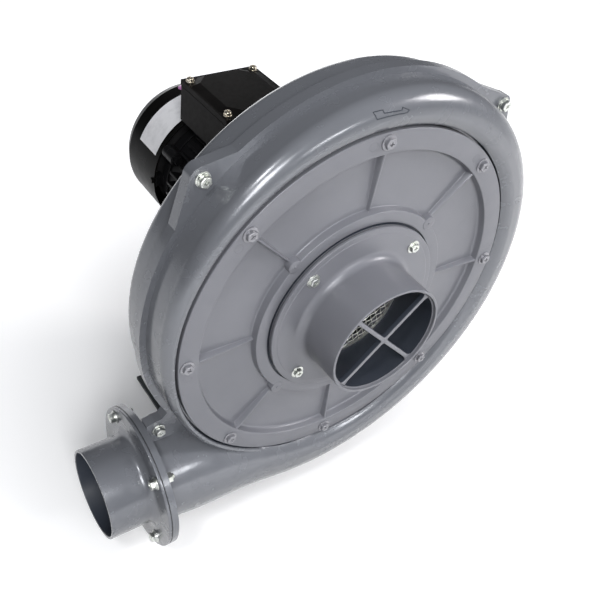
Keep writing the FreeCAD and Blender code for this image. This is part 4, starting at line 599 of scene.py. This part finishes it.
@dataclass
class HexScrew:
    """Hexagon head with a cross recess on a pressed-on washer, built along +Z from its seat."""

    head_radius: float = 5.3
    head_height: float = 3.2
    washer_radius: float = 7.3
    washer_thickness: float = 1.2
    spring_washer: float = 0.0
    recess: float = 2.6
    recess_width: float = 0.6
    recess_depth: float = 1.5
    chamfer: float = 0.55
    dome: float = 0.35
    edge: float = 0.22
    sink: float = 0.05

    def cross_top(self, bm: Mesh, top: bmesh.types.BMFace) -> None:
        """Sink a cross recess into the top face.

        Args:
            bm: Mesh of the head.
            top: Its top face.
        """
        height = top.calc_center_median().z
        rim = list(top.edges)
        bmesh.ops.delete(bm, geom=[top], context="FACES_ONLY")
        ring = bmesh.ops.create_circle(bm, cap_ends=False, radius=1.0, segments=12,
                                       matrix=Matrix.Rotation(math.radians(15.0), 4, "Z"))["verts"]
        for vert in ring:
            angle = math.degrees(math.atan2(vert.co.y, vert.co.x)) % 360.0
            arm = round(angle / 90.0) * 90.0
            lean = ((angle - arm + 180.0) % 360.0) - 180.0
            if abs(abs(lean) - 45.0) < 8.0:
                direction = Vector((math.copysign(1, vert.co.x), math.copysign(1, vert.co.y), 0))
                vert.co = direction * self.recess_width
            else:
                along = Vector((math.cos(math.radians(arm)), math.sin(math.radians(arm)), 0))
                across = Vector((-along.y, along.x, 0))
                vert.co = along * self.recess + across * math.copysign(self.recess_width, lean)
            vert.co.z = height
        loop = list({edge for vert in ring for edge in vert.link_edges})
        bmesh.ops.triangle_fill(bm, use_beauty=True, use_dissolve=False, edges=rim + loop, normal=(0, 0, 1))
        walls = bmesh.ops.extrude_edge_only(bm, edges=loop)["geom"]
        low = verts_of(walls)
        for vert in low:
            vert.co.z -= self.recess_depth
            vert.co.xy *= 0.8
        floor = [item for item in walls if isinstance(item, bmesh.types.BMEdge)
                 and all(vert in low for vert in item.verts)]
        bmesh.ops.triangle_fill(bm, use_beauty=True, use_dissolve=False, edges=floor, normal=(0, 0, 1))

    def head(self) -> Mesh:
        """The hexagon with its domed chamfer and cross recess."""
        bm = drum(self.head_radius, self.head_height, 6)
        top = top_face(bm)
        bmesh.ops.inset_region(bm, faces=[top], thickness=self.chamfer, use_even_offset=True)
        for vert in top.verts:
            vert.co.z += self.dome
        round_off(bm, [edge for edge in bm.edges if edge.calc_face_angle(0.0) > 0.2], self.edge, 2)
        self.cross_top(bm, top_face(bm))
        face_out(bm)
        return bm

    def build(self) -> list[tuple[Mesh, float]]:
        """The screw's separate pieces and the height at which each stands."""
        height = 0.0
        stack = [(drum(self.washer_radius, self.washer_thickness, 36, 0.3), height)]
        height += self.washer_thickness
        if self.spring_washer:
            stack.append((drum(self.washer_radius * 0.8, self.spring_washer, 36, 0.3), height))
            height += self.spring_washer
        stack.append((self.head(), height - self.sink))
        return stack

    def at(self, places: Iterable[Vector], toward: Vector, turns: float = 37.0) -> Mesh:
        """Copies of the screw at places, each turned a little differently.

        Args:
            places: Seats of the screws.
            toward: Direction in which the heads point.
            turns: Degrees that each screw is turned from the one before.

        Returns:
            All of them in one mesh.
        """
        parts = []
        for index, place in enumerate(places):
            for bm, height in self.build():
                stand = aim(place + toward * height, toward, math.radians(11.0 + turns * index))
                parts.append((bm, stand))
        return joined(parts)


@dataclass
class HexNut:
    """Chamfered nut on a flat washer with the thread's end standing out of it, built along +Z."""

    radius: float = 5.6
    height: float = 5.0
    washer_radius: float = 7.2
    washer_thickness: float = 1.2
    bolt_radius: float = 2.95
    bolt_reach: float = 3.0
    pitch: float = 0.55
    thread_depth: float = 0.35
    turns: int = 5

    def at(self, places: Iterable[Vector], toward: Vector) -> Mesh:
        """Copies of the nut at places."""
        parts = []
        for index, place in enumerate(places):
            turn = math.radians(17.0 + 23.0 * index)
            stack = [
                (drum(self.washer_radius, self.washer_thickness, 36, 0.25), 0.0),
                (drum(self.radius, self.height, 6, 0.5), self.washer_thickness),
                (self.thread(), self.washer_thickness + self.height - 0.2),
            ]
            for bm, height in stack:
                parts.append((bm, aim(place + toward * height, toward, turn)))
        return joined(parts)

    def thread(self) -> Mesh:
        """End of the bolt with a few turns of thread."""
        outline = [Corner(0.0, 0.0)]
        for index in range(self.turns):
            outline.append(Corner(self.bolt_radius, self.pitch * index))
            outline.append(Corner(self.bolt_radius - self.thread_depth, self.pitch * index + 0.28))
        outline.append(Corner(self.bolt_radius - 0.6, self.bolt_reach))
        outline.append(Corner(0.0, self.bolt_reach))
        bm = turned(outline, 24)
        bmesh.ops.rotate(bm, cent=(0, 0, 0), matrix=Matrix.Rotation(math.pi / 2, 3, "X"), verts=bm.verts)
        return bm


@dataclass
class PanScrew:
    """Round pan head with a cross recess on a washer, as on the terminal lid."""

    radius: float = 4.0
    height: float = 3.2
    washer_radius: float = 4.8
    washer_thickness: float = 1.6
    dome: float = 1.1

    def at(self, places: Iterable[Vector], toward: Vector) -> Mesh:
        """Copies of the screw at places."""
        parts = []
        cutter = HexScrew(recess=1.9, recess_width=0.55, recess_depth=1.4)
        for index, place in enumerate(places):
            bm = drum(self.radius, self.height, 24)
            round_off(bm, edges_where(bm, lambda spot: spot.z > self.height - NEAR), self.dome, 4)
            cutter.cross_top(bm, top_face(bm))
            face_out(bm)
            seat = place + toward * self.washer_thickness
            parts.append((bm, aim(seat, toward, math.radians(20.0 + 31.0 * index))))
            parts.append((drum(self.washer_radius, self.washer_thickness, 32, 0.3), aim(place, toward)))
        return joined(parts)


@dataclass
class Fasteners:
    """Every screw and nut that the photograph shows."""

    cover_circle: float = 185.4
    cover_face: float = 4.0
    inlet_circle: float = 84.9
    inlet_face: float = -1.0
    parting_depth: float = 44.5
    lip: float = 6.0
    lugs: list[Pair] = field(default_factory=lambda: [
        (-158.1, 170.2), (176.9, 169.1), (186.5, -186.5), (-197.0, -118.0)])
    outlet_circle: float = 68.7
    outlet_axis: Pair = (44.5, -190.8)
    outlet_front: float = -221.0
    outlet_back: float = -210.0

    def outlet_places(self, x: float) -> list[Vector]:
        """Centres of the outlet's bolts in the upright plane at x."""
        depth, height = self.outlet_axis
        circle = round_places(4, self.outlet_circle, 45.0, 0.0)
        return [Vector((x, depth + spot.x, height + spot.z)) for spot in circle]

    def lug_places(self, rise: float) -> list[Vector]:
        """Centres of the lugs' bolts, at a distance from the parting plane."""
        return [Vector((x, self.parting_depth + rise, z)) for x, z in self.lugs]

    def build(self) -> None:
        """Make and place the fasteners."""
        painted = HexScrew(head_radius=5.6, washer_radius=7.6)
        small = HexScrew(head_radius=5.1, washer_radius=7.0)
        large = HexScrew(head_radius=5.6, head_height=4.0, washer_radius=7.2, spring_washer=1.3,
                         recess=2.4, recess_width=0.7)
        nut = HexNut()
        cover_places = round_places(8, self.cover_circle, 0.0, self.cover_face)
        inlet_places = round_places(4, self.inlet_circle, 45.0, self.inlet_face)
        piece("cover_screw_set", painted.at(cover_places, Toward.INLET.vector()),
              Finishes.PAINTED_SCREW, ["cover_screws"])
        for name, node, kind, toward, places in (
            ("inlet_screw_set", "inlet_screws", small, Toward.INLET, inlet_places),
            ("lug_bolt_set", "shell_bolts", large, Toward.INLET, self.lug_places(-self.lip)),
            ("lug_nut_set", "shell_nuts", nut, Toward.MOTOR, self.lug_places(self.lip)),
            ("outlet_bolt_set", "outlet_bolts", large, Toward.LEFT, self.outlet_places(self.outlet_front)),
            ("outlet_nut_set", "outlet_nuts", nut, Toward.RIGHT, self.outlet_places(self.outlet_back)),
        ):
            piece(name, kind.at(places, toward.vector()), Finishes.ZINC, [node])


# Cover and inlet


@dataclass
class CoverPlate:
    """Dished cover with a raised band and centre, eight tapered ribs and four bosses."""

    opening: float = 56.0
    outer: float = 194.6
    step: float = 173.5
    centre: float = 111.7
    groove: float = 99.4
    face: float = 4.0
    floor: float = 12.0
    wall: float = 4.5
    groove_width: float = 2.4
    groove_depth: float = 2.6
    rib_foot: Pair = (2.4, 1.3)
    rib_crest: Pair = (0.9, 0.5)
    rib_dip: Pair = (0.7, 4.6)
    boss_radius: float = 7.0
    boss_rise: float = 0.5
    mark_angle: float = 4.8
    mark_circle: float = 185.0

    def disc(self) -> Mesh:
        """The turned disc."""
        back = self.face + 6.0
        return turned([
            Corner(self.opening, self.face),
            Corner(self.groove - self.groove_width, self.face),
            Corner(self.groove - self.groove_width, self.face + self.groove_depth),
            Corner(self.groove, self.face + self.groove_depth),
            Corner(self.groove, self.face, 0.3),
            Corner(self.centre, self.face, 0.5),
            Corner(self.centre + 1.2, self.floor, 1.0),
            Corner(self.step - 1.8, self.floor, 2.2),
            Corner(self.step, self.face, 0.7),
            Corner(self.outer, self.face, 0.9),
            Corner(self.outer, back),
            Corner(self.step + 2.5, back),
            Corner(self.step + 1.0, self.floor + self.wall),
            Corner(self.centre - 2.0, self.floor + self.wall),
            Corner(self.centre - 4.0, back),
            Corner(self.opening, back),
        ], 192)

    def rib(self) -> Mesh:
        """One rib along +X, tall and wide at the band, low and narrow at the centre."""
        bm = bmesh.new()
        bmesh.ops.create_cube(bm, size=2.0)
        foot = self.floor + 0.6
        for vert in bm.verts:
            outward, front = vert.co.x > 0, vert.co.y < 0
            end = 0 if outward else 1
            vert.co.z *= (self.rib_crest if front else self.rib_foot)[end]
            vert.co.x = self.step - 0.3 if outward else self.centre + 0.9
            vert.co.y = self.face + self.rib_dip[end] if front else foot
        crest = [edge for edge in bm.edges if all(vert.co.y < foot - 0.1 for vert in edge.verts)
                 and abs(edge.verts[0].co.x - edge.verts[1].co.x) > 1.0]
        round_off(bm, crest, 0.35, 2)
        return bm

    def boss(self) -> Mesh:
        """Round boss with the pimple that centres a drill."""
        rise = self.boss_rise + self.floor - self.face
        stack = [
            (drum(self.boss_radius, rise, 40, 0.4), STILL),
            (drum(1.3, 0.9, 16, 0.7), Matrix.Translation((0, 0, rise - 0.15))),
        ]
        return joined(stack)

    def mark(self) -> Mesh:
        """Faint ring that an ejector pin leaves on the band."""
        return turned([Corner(4.1, 0.25), Corner(4.35, -0.14), Corner(4.6, 0.25)], 40)

    def build(self) -> None:
        """Make the cover."""
        toward = Toward.INLET.vector()
        parts = [(self.disc(), STILL)]
        for index in range(8):
            parts.append((self.rib(), Matrix.Rotation(math.radians(-45.0 * index), 4, "Y")))
        for place in round_places(4, self.centre, 45.0, self.floor):
            parts.append((self.boss(), aim(place, toward)))
        for place in round_places(8, self.mark_circle, self.mark_angle, self.face):
            parts.append((self.mark(), Matrix.Translation(place)))
        obj = piece("ribbed_cover", joined(parts), Finishes.COVER, ["cover_plate"], 40.0)
        # Painted shade on the walls and floor of the groove round the inlet flange.
        repaint(obj, Finishes.PAINTED_SHADE, lambda centre, normal: 0.4 < shaft_depth(centre) - self.face < 3.4
                and -3.0 < shaft_radius(centre) - self.groove < 0.2)


@dataclass
class InletPipe:
    """Inlet spigot on its round flange, with a stepped mouth and a cast cross faced on a lathe."""

    radius: float = 62.5
    bore: float = 58.5
    mouth_bore: float = 60.0
    mouth: float = -53.5
    step: float = 3.5
    flange: float = 97.5
    front: float = -1.0
    back: float = 4.0
    root: float = 9.0
    bar: float = 2.1
    bar_depth: float = 5.0

    def body(self) -> Mesh:
        """The turned pipe and flange."""
        return turned([
            Corner(self.bore, self.back),
            Corner(self.bore, self.mouth + self.step),
            Corner(self.mouth_bore, self.mouth + self.step),
            Corner(self.mouth_bore, self.mouth, 0.35),
            Corner(self.radius, self.mouth, 0.5),
            Corner(self.radius + 0.3, self.front - 0.6, self.root, 10),
            Corner(self.flange - 6.5, self.front - 0.35, 0.3),
            Corner(self.flange - 6.1, self.front, 0.1),
            Corner(self.flange, self.front, 0.6),
            Corner(self.flange, self.back - 2.2),
            Corner(self.flange - 2.0, self.back - 1.8),
            Corner(self.flange - 2.0, self.back),
        ], 160)

    def cross(self) -> Mesh:
        """Cross guard whose arms widen into the centre and into the wall."""
        bm = bmesh.new()
        half, reach = self.bar, self.bore
        bmesh.ops.create_grid(bm, x_segments=1, y_segments=1, size=half + 0.7)
        rim = [edge for edge in bm.edges if edge.is_boundary]
        stations = [(half + 1.5, half + 0.2), (half + 2.8, half), (reach - 7.0, half),
                    (reach - 3.4, half + 0.5), (reach - 1.5, half + 1.4), (reach + 0.8, half + 3.2)]
        for edge in rim:
            middle = (edge.verts[0].co + edge.verts[1].co) / 2
            along = middle.normalized()
            for distance, width in stations:
                grown = bmesh.ops.extrude_edge_only(bm, edges=[edge])["geom"]
                for vert in verts_of(grown):
                    side = vert.co - along * vert.co.dot(along)
                    vert.co = along * distance + side.normalized() * width
                edge = next(item for item in grown if isinstance(item, bmesh.types.BMEdge)
                            and all(abs(vert.co.dot(along) - distance) < NEAR for vert in item.verts))
        sheet = bm.faces[:]
        grown = bmesh.ops.extrude_face_region(bm, geom=sheet)["geom"]
        bmesh.ops.translate(bm, vec=(0, 0, self.bar_depth), verts=verts_of(grown))
        face_out(bm)
        front = [edge for edge in bm.edges if edge.calc_face_angle(0.0) > 1.0
                 and all(vert.co.z > self.bar_depth - 0.01 for vert in edge.verts)]
        round_off(bm, front, 0.3, 2)
        middle = Vector((0, 0, self.bar_depth))
        hub = min(bm.faces, key=lambda face: (face.calc_center_median() - middle).length)
        bmesh.ops.inset_region(bm, faces=[hub], thickness=half - 0.1)
        bmesh.ops.translate(bm, vec=(0, 0, -0.7), verts=list(hub.verts))
        return bm

    def build(self) -> None:
        """Make the inlet pipe."""
        stand = Matrix.Rotation(math.radians(45.0), 4, "Y") @ aim(
            Vector((0, self.mouth + self.step + self.bar_depth, 0)), Toward.INLET.vector())
        whole = joined([(self.body(), STILL), (self.cross(), stand)])
        obj = piece("inlet_spigot", whole, Finishes.COVER, ["inlet_pipe"])
        shoulder = self.mouth + self.step + 0.3
        # Painted shade on the inside of the pipe behind the mouth.
        repaint(obj, Finishes.PAINTED_SHADE, lambda centre, normal: abs(normal.y) < 0.5
                and shaft_depth(centre) > shoulder and shaft_radius(centre) < self.bore + 0.2)


@dataclass
class InletMesh:
    """Woven wire behind the inlet pipe, in a flat rim."""

    radius: float = 57.0
    pitch: float = 6.4
    wire: float = 0.5
    depth: float = 3.0
    turn: float = -22.0
    points_per_cell: int = 6
    rim_radii: Pair = (55.6, 58.2)
    rim_depths: Pair = (2.1, 3.9)

    def wires(self) -> list[list[Vector]]:
        """Waving centre lines of the crossing wires."""
        paths = []
        count = int(self.radius // self.pitch)
        for across in (False, True):
            for index in range(-count, count + 1):
                offset = index * self.pitch
                reach = math.sqrt(self.radius ** 2 - offset ** 2)
                steps = max(4, int(2 * reach / self.pitch * self.points_per_cell))
                path = []
                for step in range(steps + 1):
                    along = -reach + 2 * reach * step / steps
                    phase = math.pi * (along / self.pitch + index + (1 if across else 0))
                    wave = self.depth + self.wire * math.cos(phase)
                    spot = (offset, wave, along) if across else (along, wave, offset)
                    path.append(Vector(spot))
                paths.append(path)
        return paths

    def build(self) -> None:
        """Make the mesh."""
        (inner, outer), (front, back) = self.rim_radii, self.rim_depths
        rim = turned([Corner(inner, front), Corner(outer, front),
                      Corner(outer, back), Corner(inner, back)], 96)
        wires = swept(self.wires(), self.wire * 0.96)
        whole = joined([(wires, STILL), (rim, STILL)])
        bmesh.ops.rotate(whole, cent=(0, 0, 0), verts=whole.verts,
                         matrix=Matrix.Rotation(math.radians(self.turn), 3, "Y"))
        piece("woven_guard", whole, Finishes.WIRE, ["inlet_mesh"])


# Outlet


@dataclass
class OutletPipe:
    """Outlet spigot that flares into its bolted flange."""

    radius: float = 50.0
    wall: float = 3.2
    flange: float = 79.6
    thickness: float = 3.0
    root: float = 10.0
    axis: Pair = (44.5, -190.8)

    def build(self) -> None:
        """Make the outlet pipe between the ends that its CAD node has."""
        low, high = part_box("outlet_pipe")
        length = (high.x - low.x) / MILLIMETRE
        bore = self.radius - self.wall
        bm = turned([
            Corner(bore, 0.0),
            Corner(self.flange, 0.0, 0.3),
            Corner(self.flange, self.thickness, 0.7),
            Corner(self.radius, self.thickness, self.root, 10),
            Corner(self.radius, length, 0.7),
            Corner(bore, length, 0.7),
        ], 144)
        foot = Matrix.Translation((high.x / MILLIMETRE, *self.axis))
        stand = foot @ Matrix.Rotation(math.radians(90.0), 4, "Z")
        bmesh.ops.transform(bm, matrix=stand, verts=bm.verts)
        obj = piece("outlet_spigot", bm, Finishes.CASTING, ["outlet_pipe"])
        middle = SHAFT_FRAME @ Vector((0, *self.axis))
        inside = (bore + 0.2) * MILLIMETRE
        # Painted shade on the inside of the spigot.
        repaint(obj, Finishes.PAINTED_SHADE, lambda centre, normal: abs(normal.x) < 0.5
                and math.hypot(centre.y - middle.y, centre.z - middle.z) < inside)


# Motor


@dataclass
class MotorTrim:
    """Nameplate, sticker and lid screws of the motor."""

    cowl: float = 78.0
    plate_angles: Pair = (99.0, 157.6)
    plate_depths: Pair = (296.0, 336.5)
    plate_lift: float = 0.25
    plate_thickness: float = 0.24
    lid_height: float = 123.0
    lid_screws: tuple[float, float, float] = (39.9, 196.3, 276.7)
    sticker_place: Pair = (96.5, 350.0)
    sticker_radius: float = 6.0
    sticker_thickness: float = 0.2

    def plate(self) -> None:
        """Bare white plate wrapped round the cowl."""
        start, end = (math.radians(angle) for angle in self.plate_angles)
        radius = self.cowl + self.plate_lift
        bm = bmesh.new()
        ends = [bm.verts.new((radius * math.cos(start), depth, radius * math.sin(start)))
                for depth in self.plate_depths]
        edge = bm.edges.new(ends)
        bmesh.ops.spin(bm, geom=[*ends, edge], cent=(0, 0, 0), axis=(0, -1, 0), dvec=(0, 0, 0),
                       angle=end - start, steps=36, use_duplicate=False)
        face_out(bm)
        bmesh.ops.solidify(bm, geom=bm.faces[:], thickness=self.plate_thickness)
        face_out(bm)
        piece("bare_nameplate", bm, Finishes.PLATE)

    def sticker(self) -> None:
        """Small bare round sticker laid on the cowl."""
        angle, depth = math.radians(self.sticker_place[0]), self.sticker_place[1]
        bm = drum(self.sticker_radius, self.sticker_thickness, 40, 0.05)
        bmesh.ops.subdivide_edges(bm, edges=bm.edges[:], cuts=2, use_grid_fill=True)
        outward = Vector((math.cos(angle), 0, math.sin(angle)))
        foot = outward * (self.cowl - 0.1) + Vector((0, depth, 0))
        bmesh.ops.transform(bm, matrix=aim(foot, outward), verts=bm.verts)
        for vert in bm.verts:
            flat = Vector((vert.co.x, 0, vert.co.z))
            height = flat.dot(outward) - self.cowl
            across = flat - outward * flat.dot(outward)
            arc, side = across.length / self.cowl, across.normalized()
            wrapped = (outward * math.cos(arc) + side * math.sin(arc)) * (self.cowl + height + 0.15)
            vert.co.x, vert.co.z = wrapped.x, wrapped.z
        piece("round_sticker", bm, Finishes.STICKER)

    def build(self) -> None:
        """Make the motor's trim."""
        self.plate()
        self.sticker()
        half, front, rear = self.lid_screws
        places = [Vector((x, y, self.lid_height)) for x in (-half, half) for y in (front, rear)]
        piece("lid_screw_set", PanScrew().at(places, Toward.UP.vector()), Finishes.DARK_SCREW,
              ["lid_screws"])


# Marks


@dataclass
class CastMarks:
    """Marks cast on the ring: the outline of a rotation arrow, laid as a dark line of painted shade along
    its relief.
    """

    corners: list[Pair] = field(default_factory=lambda: [
        (96.0, 217.4), (93.5, 217.1), (93.3, 214.6), (88.4, 213.5), (88.2, 215.9),
        (86.2, 212.9), (86.9, 210.9), (95.3, 211.6)])
    line: float = 0.4

    def on_casting(self, frame: dict, radius: float, degrees: float) -> Vector:
        """Point of the ring's front surface at a radius and angle."""
        angle = math.radians(degrees)
        origin = SHAFT_FRAME @ Vector((radius * math.cos(angle), -60.0, radius * math.sin(angle)))
        hit, place, _, _ = frame["nodes"]["front_shell"].ray_cast(origin, Vector((0, 1, 0)))
        if not hit:
            raise ValueError("the arrow misses the casing")
        return SHAFT_FRAME.inverted() @ place

    def build(self, frame: dict) -> None:
        """Lay the arrow on the casing."""
        path = []
        for index, there in enumerate(self.corners):
            here = self.corners[index - 1]
            for step in range(10):
                share = step / 10
                degrees = here[0] + (there[0] - here[0]) * share
                radius = here[1] + (there[1] - here[1]) * share
                path.append(self.on_casting(frame, radius, degrees))
        path.append(path[0])
        # The arrow's line is painted dark as the shade along its relief.
        piece("rotation_arrow", swept([path], self.line, 2), Finishes.PAINTED_SHADE)


# Studio


@dataclass(frozen=True)
class Lamp:
    """Soft square lamp."""

    name: str
    place: Colour
    size: float
    watts: float
    target: Colour = (0.0, 0.0, 0.25)
    colour: Colour = (1.0, 1.0, 1.0)

    def hang(self) -> None:
        """Put the lamp in the scene, pointing at its target."""
        data = bpy.data.lights.new(self.name, "AREA")
        data.shape = "SQUARE"
        data.size = self.size
        data.energy = self.watts
        data.color = self.colour
        obj = placed(self.name, data)
        obj.location = self.place
        gaze = Vector(self.target) - Vector(self.place)
        obj.rotation_euler = gaze.to_track_quat("-Z", "Y").to_euler()


@dataclass
class Studio:
    """Pale floor, soft lamps and the camera of the photograph."""

    eye: Colour = (-0.42044, -0.56628, 0.78469)
    gaze: Colour = (0.4343, 0.5851, -0.6849)
    above: Colour = (0.3086, 0.6177, 0.7234)
    lens: float = 45.835
    shift: Pair = (0.0723, 0.0515)
    sensor: float = 36.0
    floor_radius: float = 9.0
    floor_white: float = 0.97
    floor_bounce: float = 0.04
    floor_glow: float = 0.42
    pale_side: Colour = (0.35, -0.70, 0.62)
    dark_sky: tuple[float, ...] = (0.09, 0.093, 0.10, 1.0)
    pale_sky: tuple[float, ...] = (0.66, 0.68, 0.73, 1.0)
    sky_span: Pair = (0.10, 0.85)
    sky_strength: float = 0.95
    lamps: tuple[Lamp, ...] = (
        Lamp("side", (1.7, -0.9, 1.3), 0.6, 16.0, colour=(1.0, 0.96, 0.94)),
        Lamp("front", (-0.85, -1.8, 1.7), 0.7, 29.0),
        Lamp("back", (1.0, 2.4, 0.5), 1.4, 12.0),
        Lamp("left", (-1.15, -0.8, 2.2), 0.3, 12.0),
        Lamp("pool", (0.4, -1.5, 0.9), 0.4, 10.0, target=(0.4, -1.5, 0.0)),
    )

    def camera(self) -> None:
        """Make the camera."""
        data = bpy.data.cameras.new("camera")
        data.lens = self.lens
        data.sensor_width = self.sensor
        data.shift_x, data.shift_y = self.shift
        data.clip_end = 50.0
        gaze, above = Vector(self.gaze).normalized(), Vector(self.above)
        right = gaze.cross(above).normalized()
        above = right.cross(gaze)
        matrix = Matrix((right, above, -gaze)).transposed().to_4x4()
        matrix.translation = Vector(self.eye)
        obj = placed("camera", data)
        obj.matrix_world = matrix
        bpy.context.scene.camera = obj

    def floor(self) -> None:
        """Lay a wide pale floor that reads as white to the camera and keeps the shadow."""
        bm = bmesh.new()
        bmesh.ops.create_circle(bm, cap_ends=True, radius=self.floor_radius, segments=64)
        mesh = bpy.data.meshes.new("floor")
        bm.to_mesh(mesh)
        bm.free()
        bench = Bench("floor_paper")
        path = bench.add("ShaderNodeLightPath")
        seen = path.outputs["Is Camera Ray"]
        for other in ("Is Transmission Ray", "Is Glossy Ray"):
            either = bench.add("ShaderNodeMath", {"operation": "MAXIMUM"})
            bench.links.new(seen, either.inputs[0])
            bench.links.new(path.outputs[other], either.inputs[1])
            seen = either.outputs[0]
        paper = bench.span(bench.noise(3.0, 2.0), self.floor_white, self.floor_white + 0.02)
        tone = bench.add("ShaderNodeMapRange", Value=seen, To_Min=self.floor_bounce, To_Max=paper)
        level = tone.outputs[0]
        grey = bench.add("ShaderNodeCombineColor", Red=level, Green=level, Blue=level)
        away = bench.add("ShaderNodeVectorMath", {"operation": "LENGTH"}, Vector=bench.coords)
        lift = bench.span(away.outputs["Value"], 0.0, self.floor_glow, 0.15, 0.5)
        glow = bench.add("ShaderNodeMapRange", Value=seen, To_Min=0.0, To_Max=lift)
        bench.set(Base_Color=grey.outputs["Color"], Roughness=0.9, Specular_IOR_Level=0.1,
                  Emission_Color=(1.0, 1.0, 1.0, 1.0), Emission_Strength=glow.outputs[0])
        mesh.materials.append(bench.material)
        obj = placed("floor", mesh)

    def world(self) -> None:
        """Surroundings that are pale in front and above and dark behind and to the left."""
        world = bpy.data.worlds.new("studio")
        world.use_nodes = True
        nodes, links = world.node_tree.nodes, world.node_tree.links
        background = nodes["Background"]
        facing = nodes.new("ShaderNodeVectorMath")
        facing.operation = "DOT_PRODUCT"
        facing.inputs[1].default_value = self.pale_side
        links.new(nodes.new("ShaderNodeTexCoord").outputs["Generated"], facing.inputs[0])
        ramp = nodes.new("ShaderNodeValToRGB")
        links.new(facing.outputs["Value"], ramp.inputs["Fac"])
        low, high = ramp.color_ramp.elements
        low.position, high.position = self.sky_span
        low.color, high.color = self.dark_sky, self.pale_sky
        links.new(ramp.outputs["Color"], background.inputs["Color"])
        background.inputs["Strength"].default_value = self.sky_strength
        bpy.context.scene.world = world
        bpy.context.scene.view_settings.view_transform = "Standard"

    def build(self) -> None:
        """Set up the studio."""
        self.camera()
        self.floor()
        self.world()
        for lamp in self.lamps:
            lamp.hang()


def dress_cad(frame: dict) -> None:
    """Give every CAD node the finish of its material slot."""
    finishes = {finish.value.slot: finish for finish in Finishes}
    for part in frame["record"]["subparts"]:
        obj = frame["nodes"][part["node"]]
        obj.data.materials.clear()
        obj.data.materials.append(finishes[part["material_slot"]].material())


def paint_gap_shade(shell: bpy.types.Object, inner: float = 193.0, outer: float = 197.2, seat: float = 11.5,
               reach: float = 5.2) -> None:
    """Paint shade into the narrow gap between the cover's edge and the casing's rim.

    Args:
        shell: Front half of the casing.
        inner: Radius at which the gap starts.
        outer: Radius at which it ends.
        seat: Depth of the cover's seat.
        reach: How far from the seat the gap goes.
    """
    # Painted shade on the seat and walls of the gap.
    repaint(shell, Finishes.PAINTED_SHADE, lambda centre, normal: abs(shaft_depth(centre) - seat) < reach
            and inner < shaft_radius(centre) < outer
            and (normal.y < -0.9 or abs(normal.y) < 0.3))


def main() -> None:
    """Build the looks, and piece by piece."""
    logging.basicConfig(level=logging.INFO, format="%(message)s")
    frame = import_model()
    Studio().build()
    dress_cad(frame)
    for assembly in (CoverPlate(), InletPipe(), InletMesh(), OutletPipe(), MotorTrim(), Fasteners()):
        assembly.build()
    CastMarks().build(frame)
    # Painted shade in the gap round the cover.
    paint_gap_shade(frame["nodes"]["front_shell"])


if __name__ == "__main__":
    main()
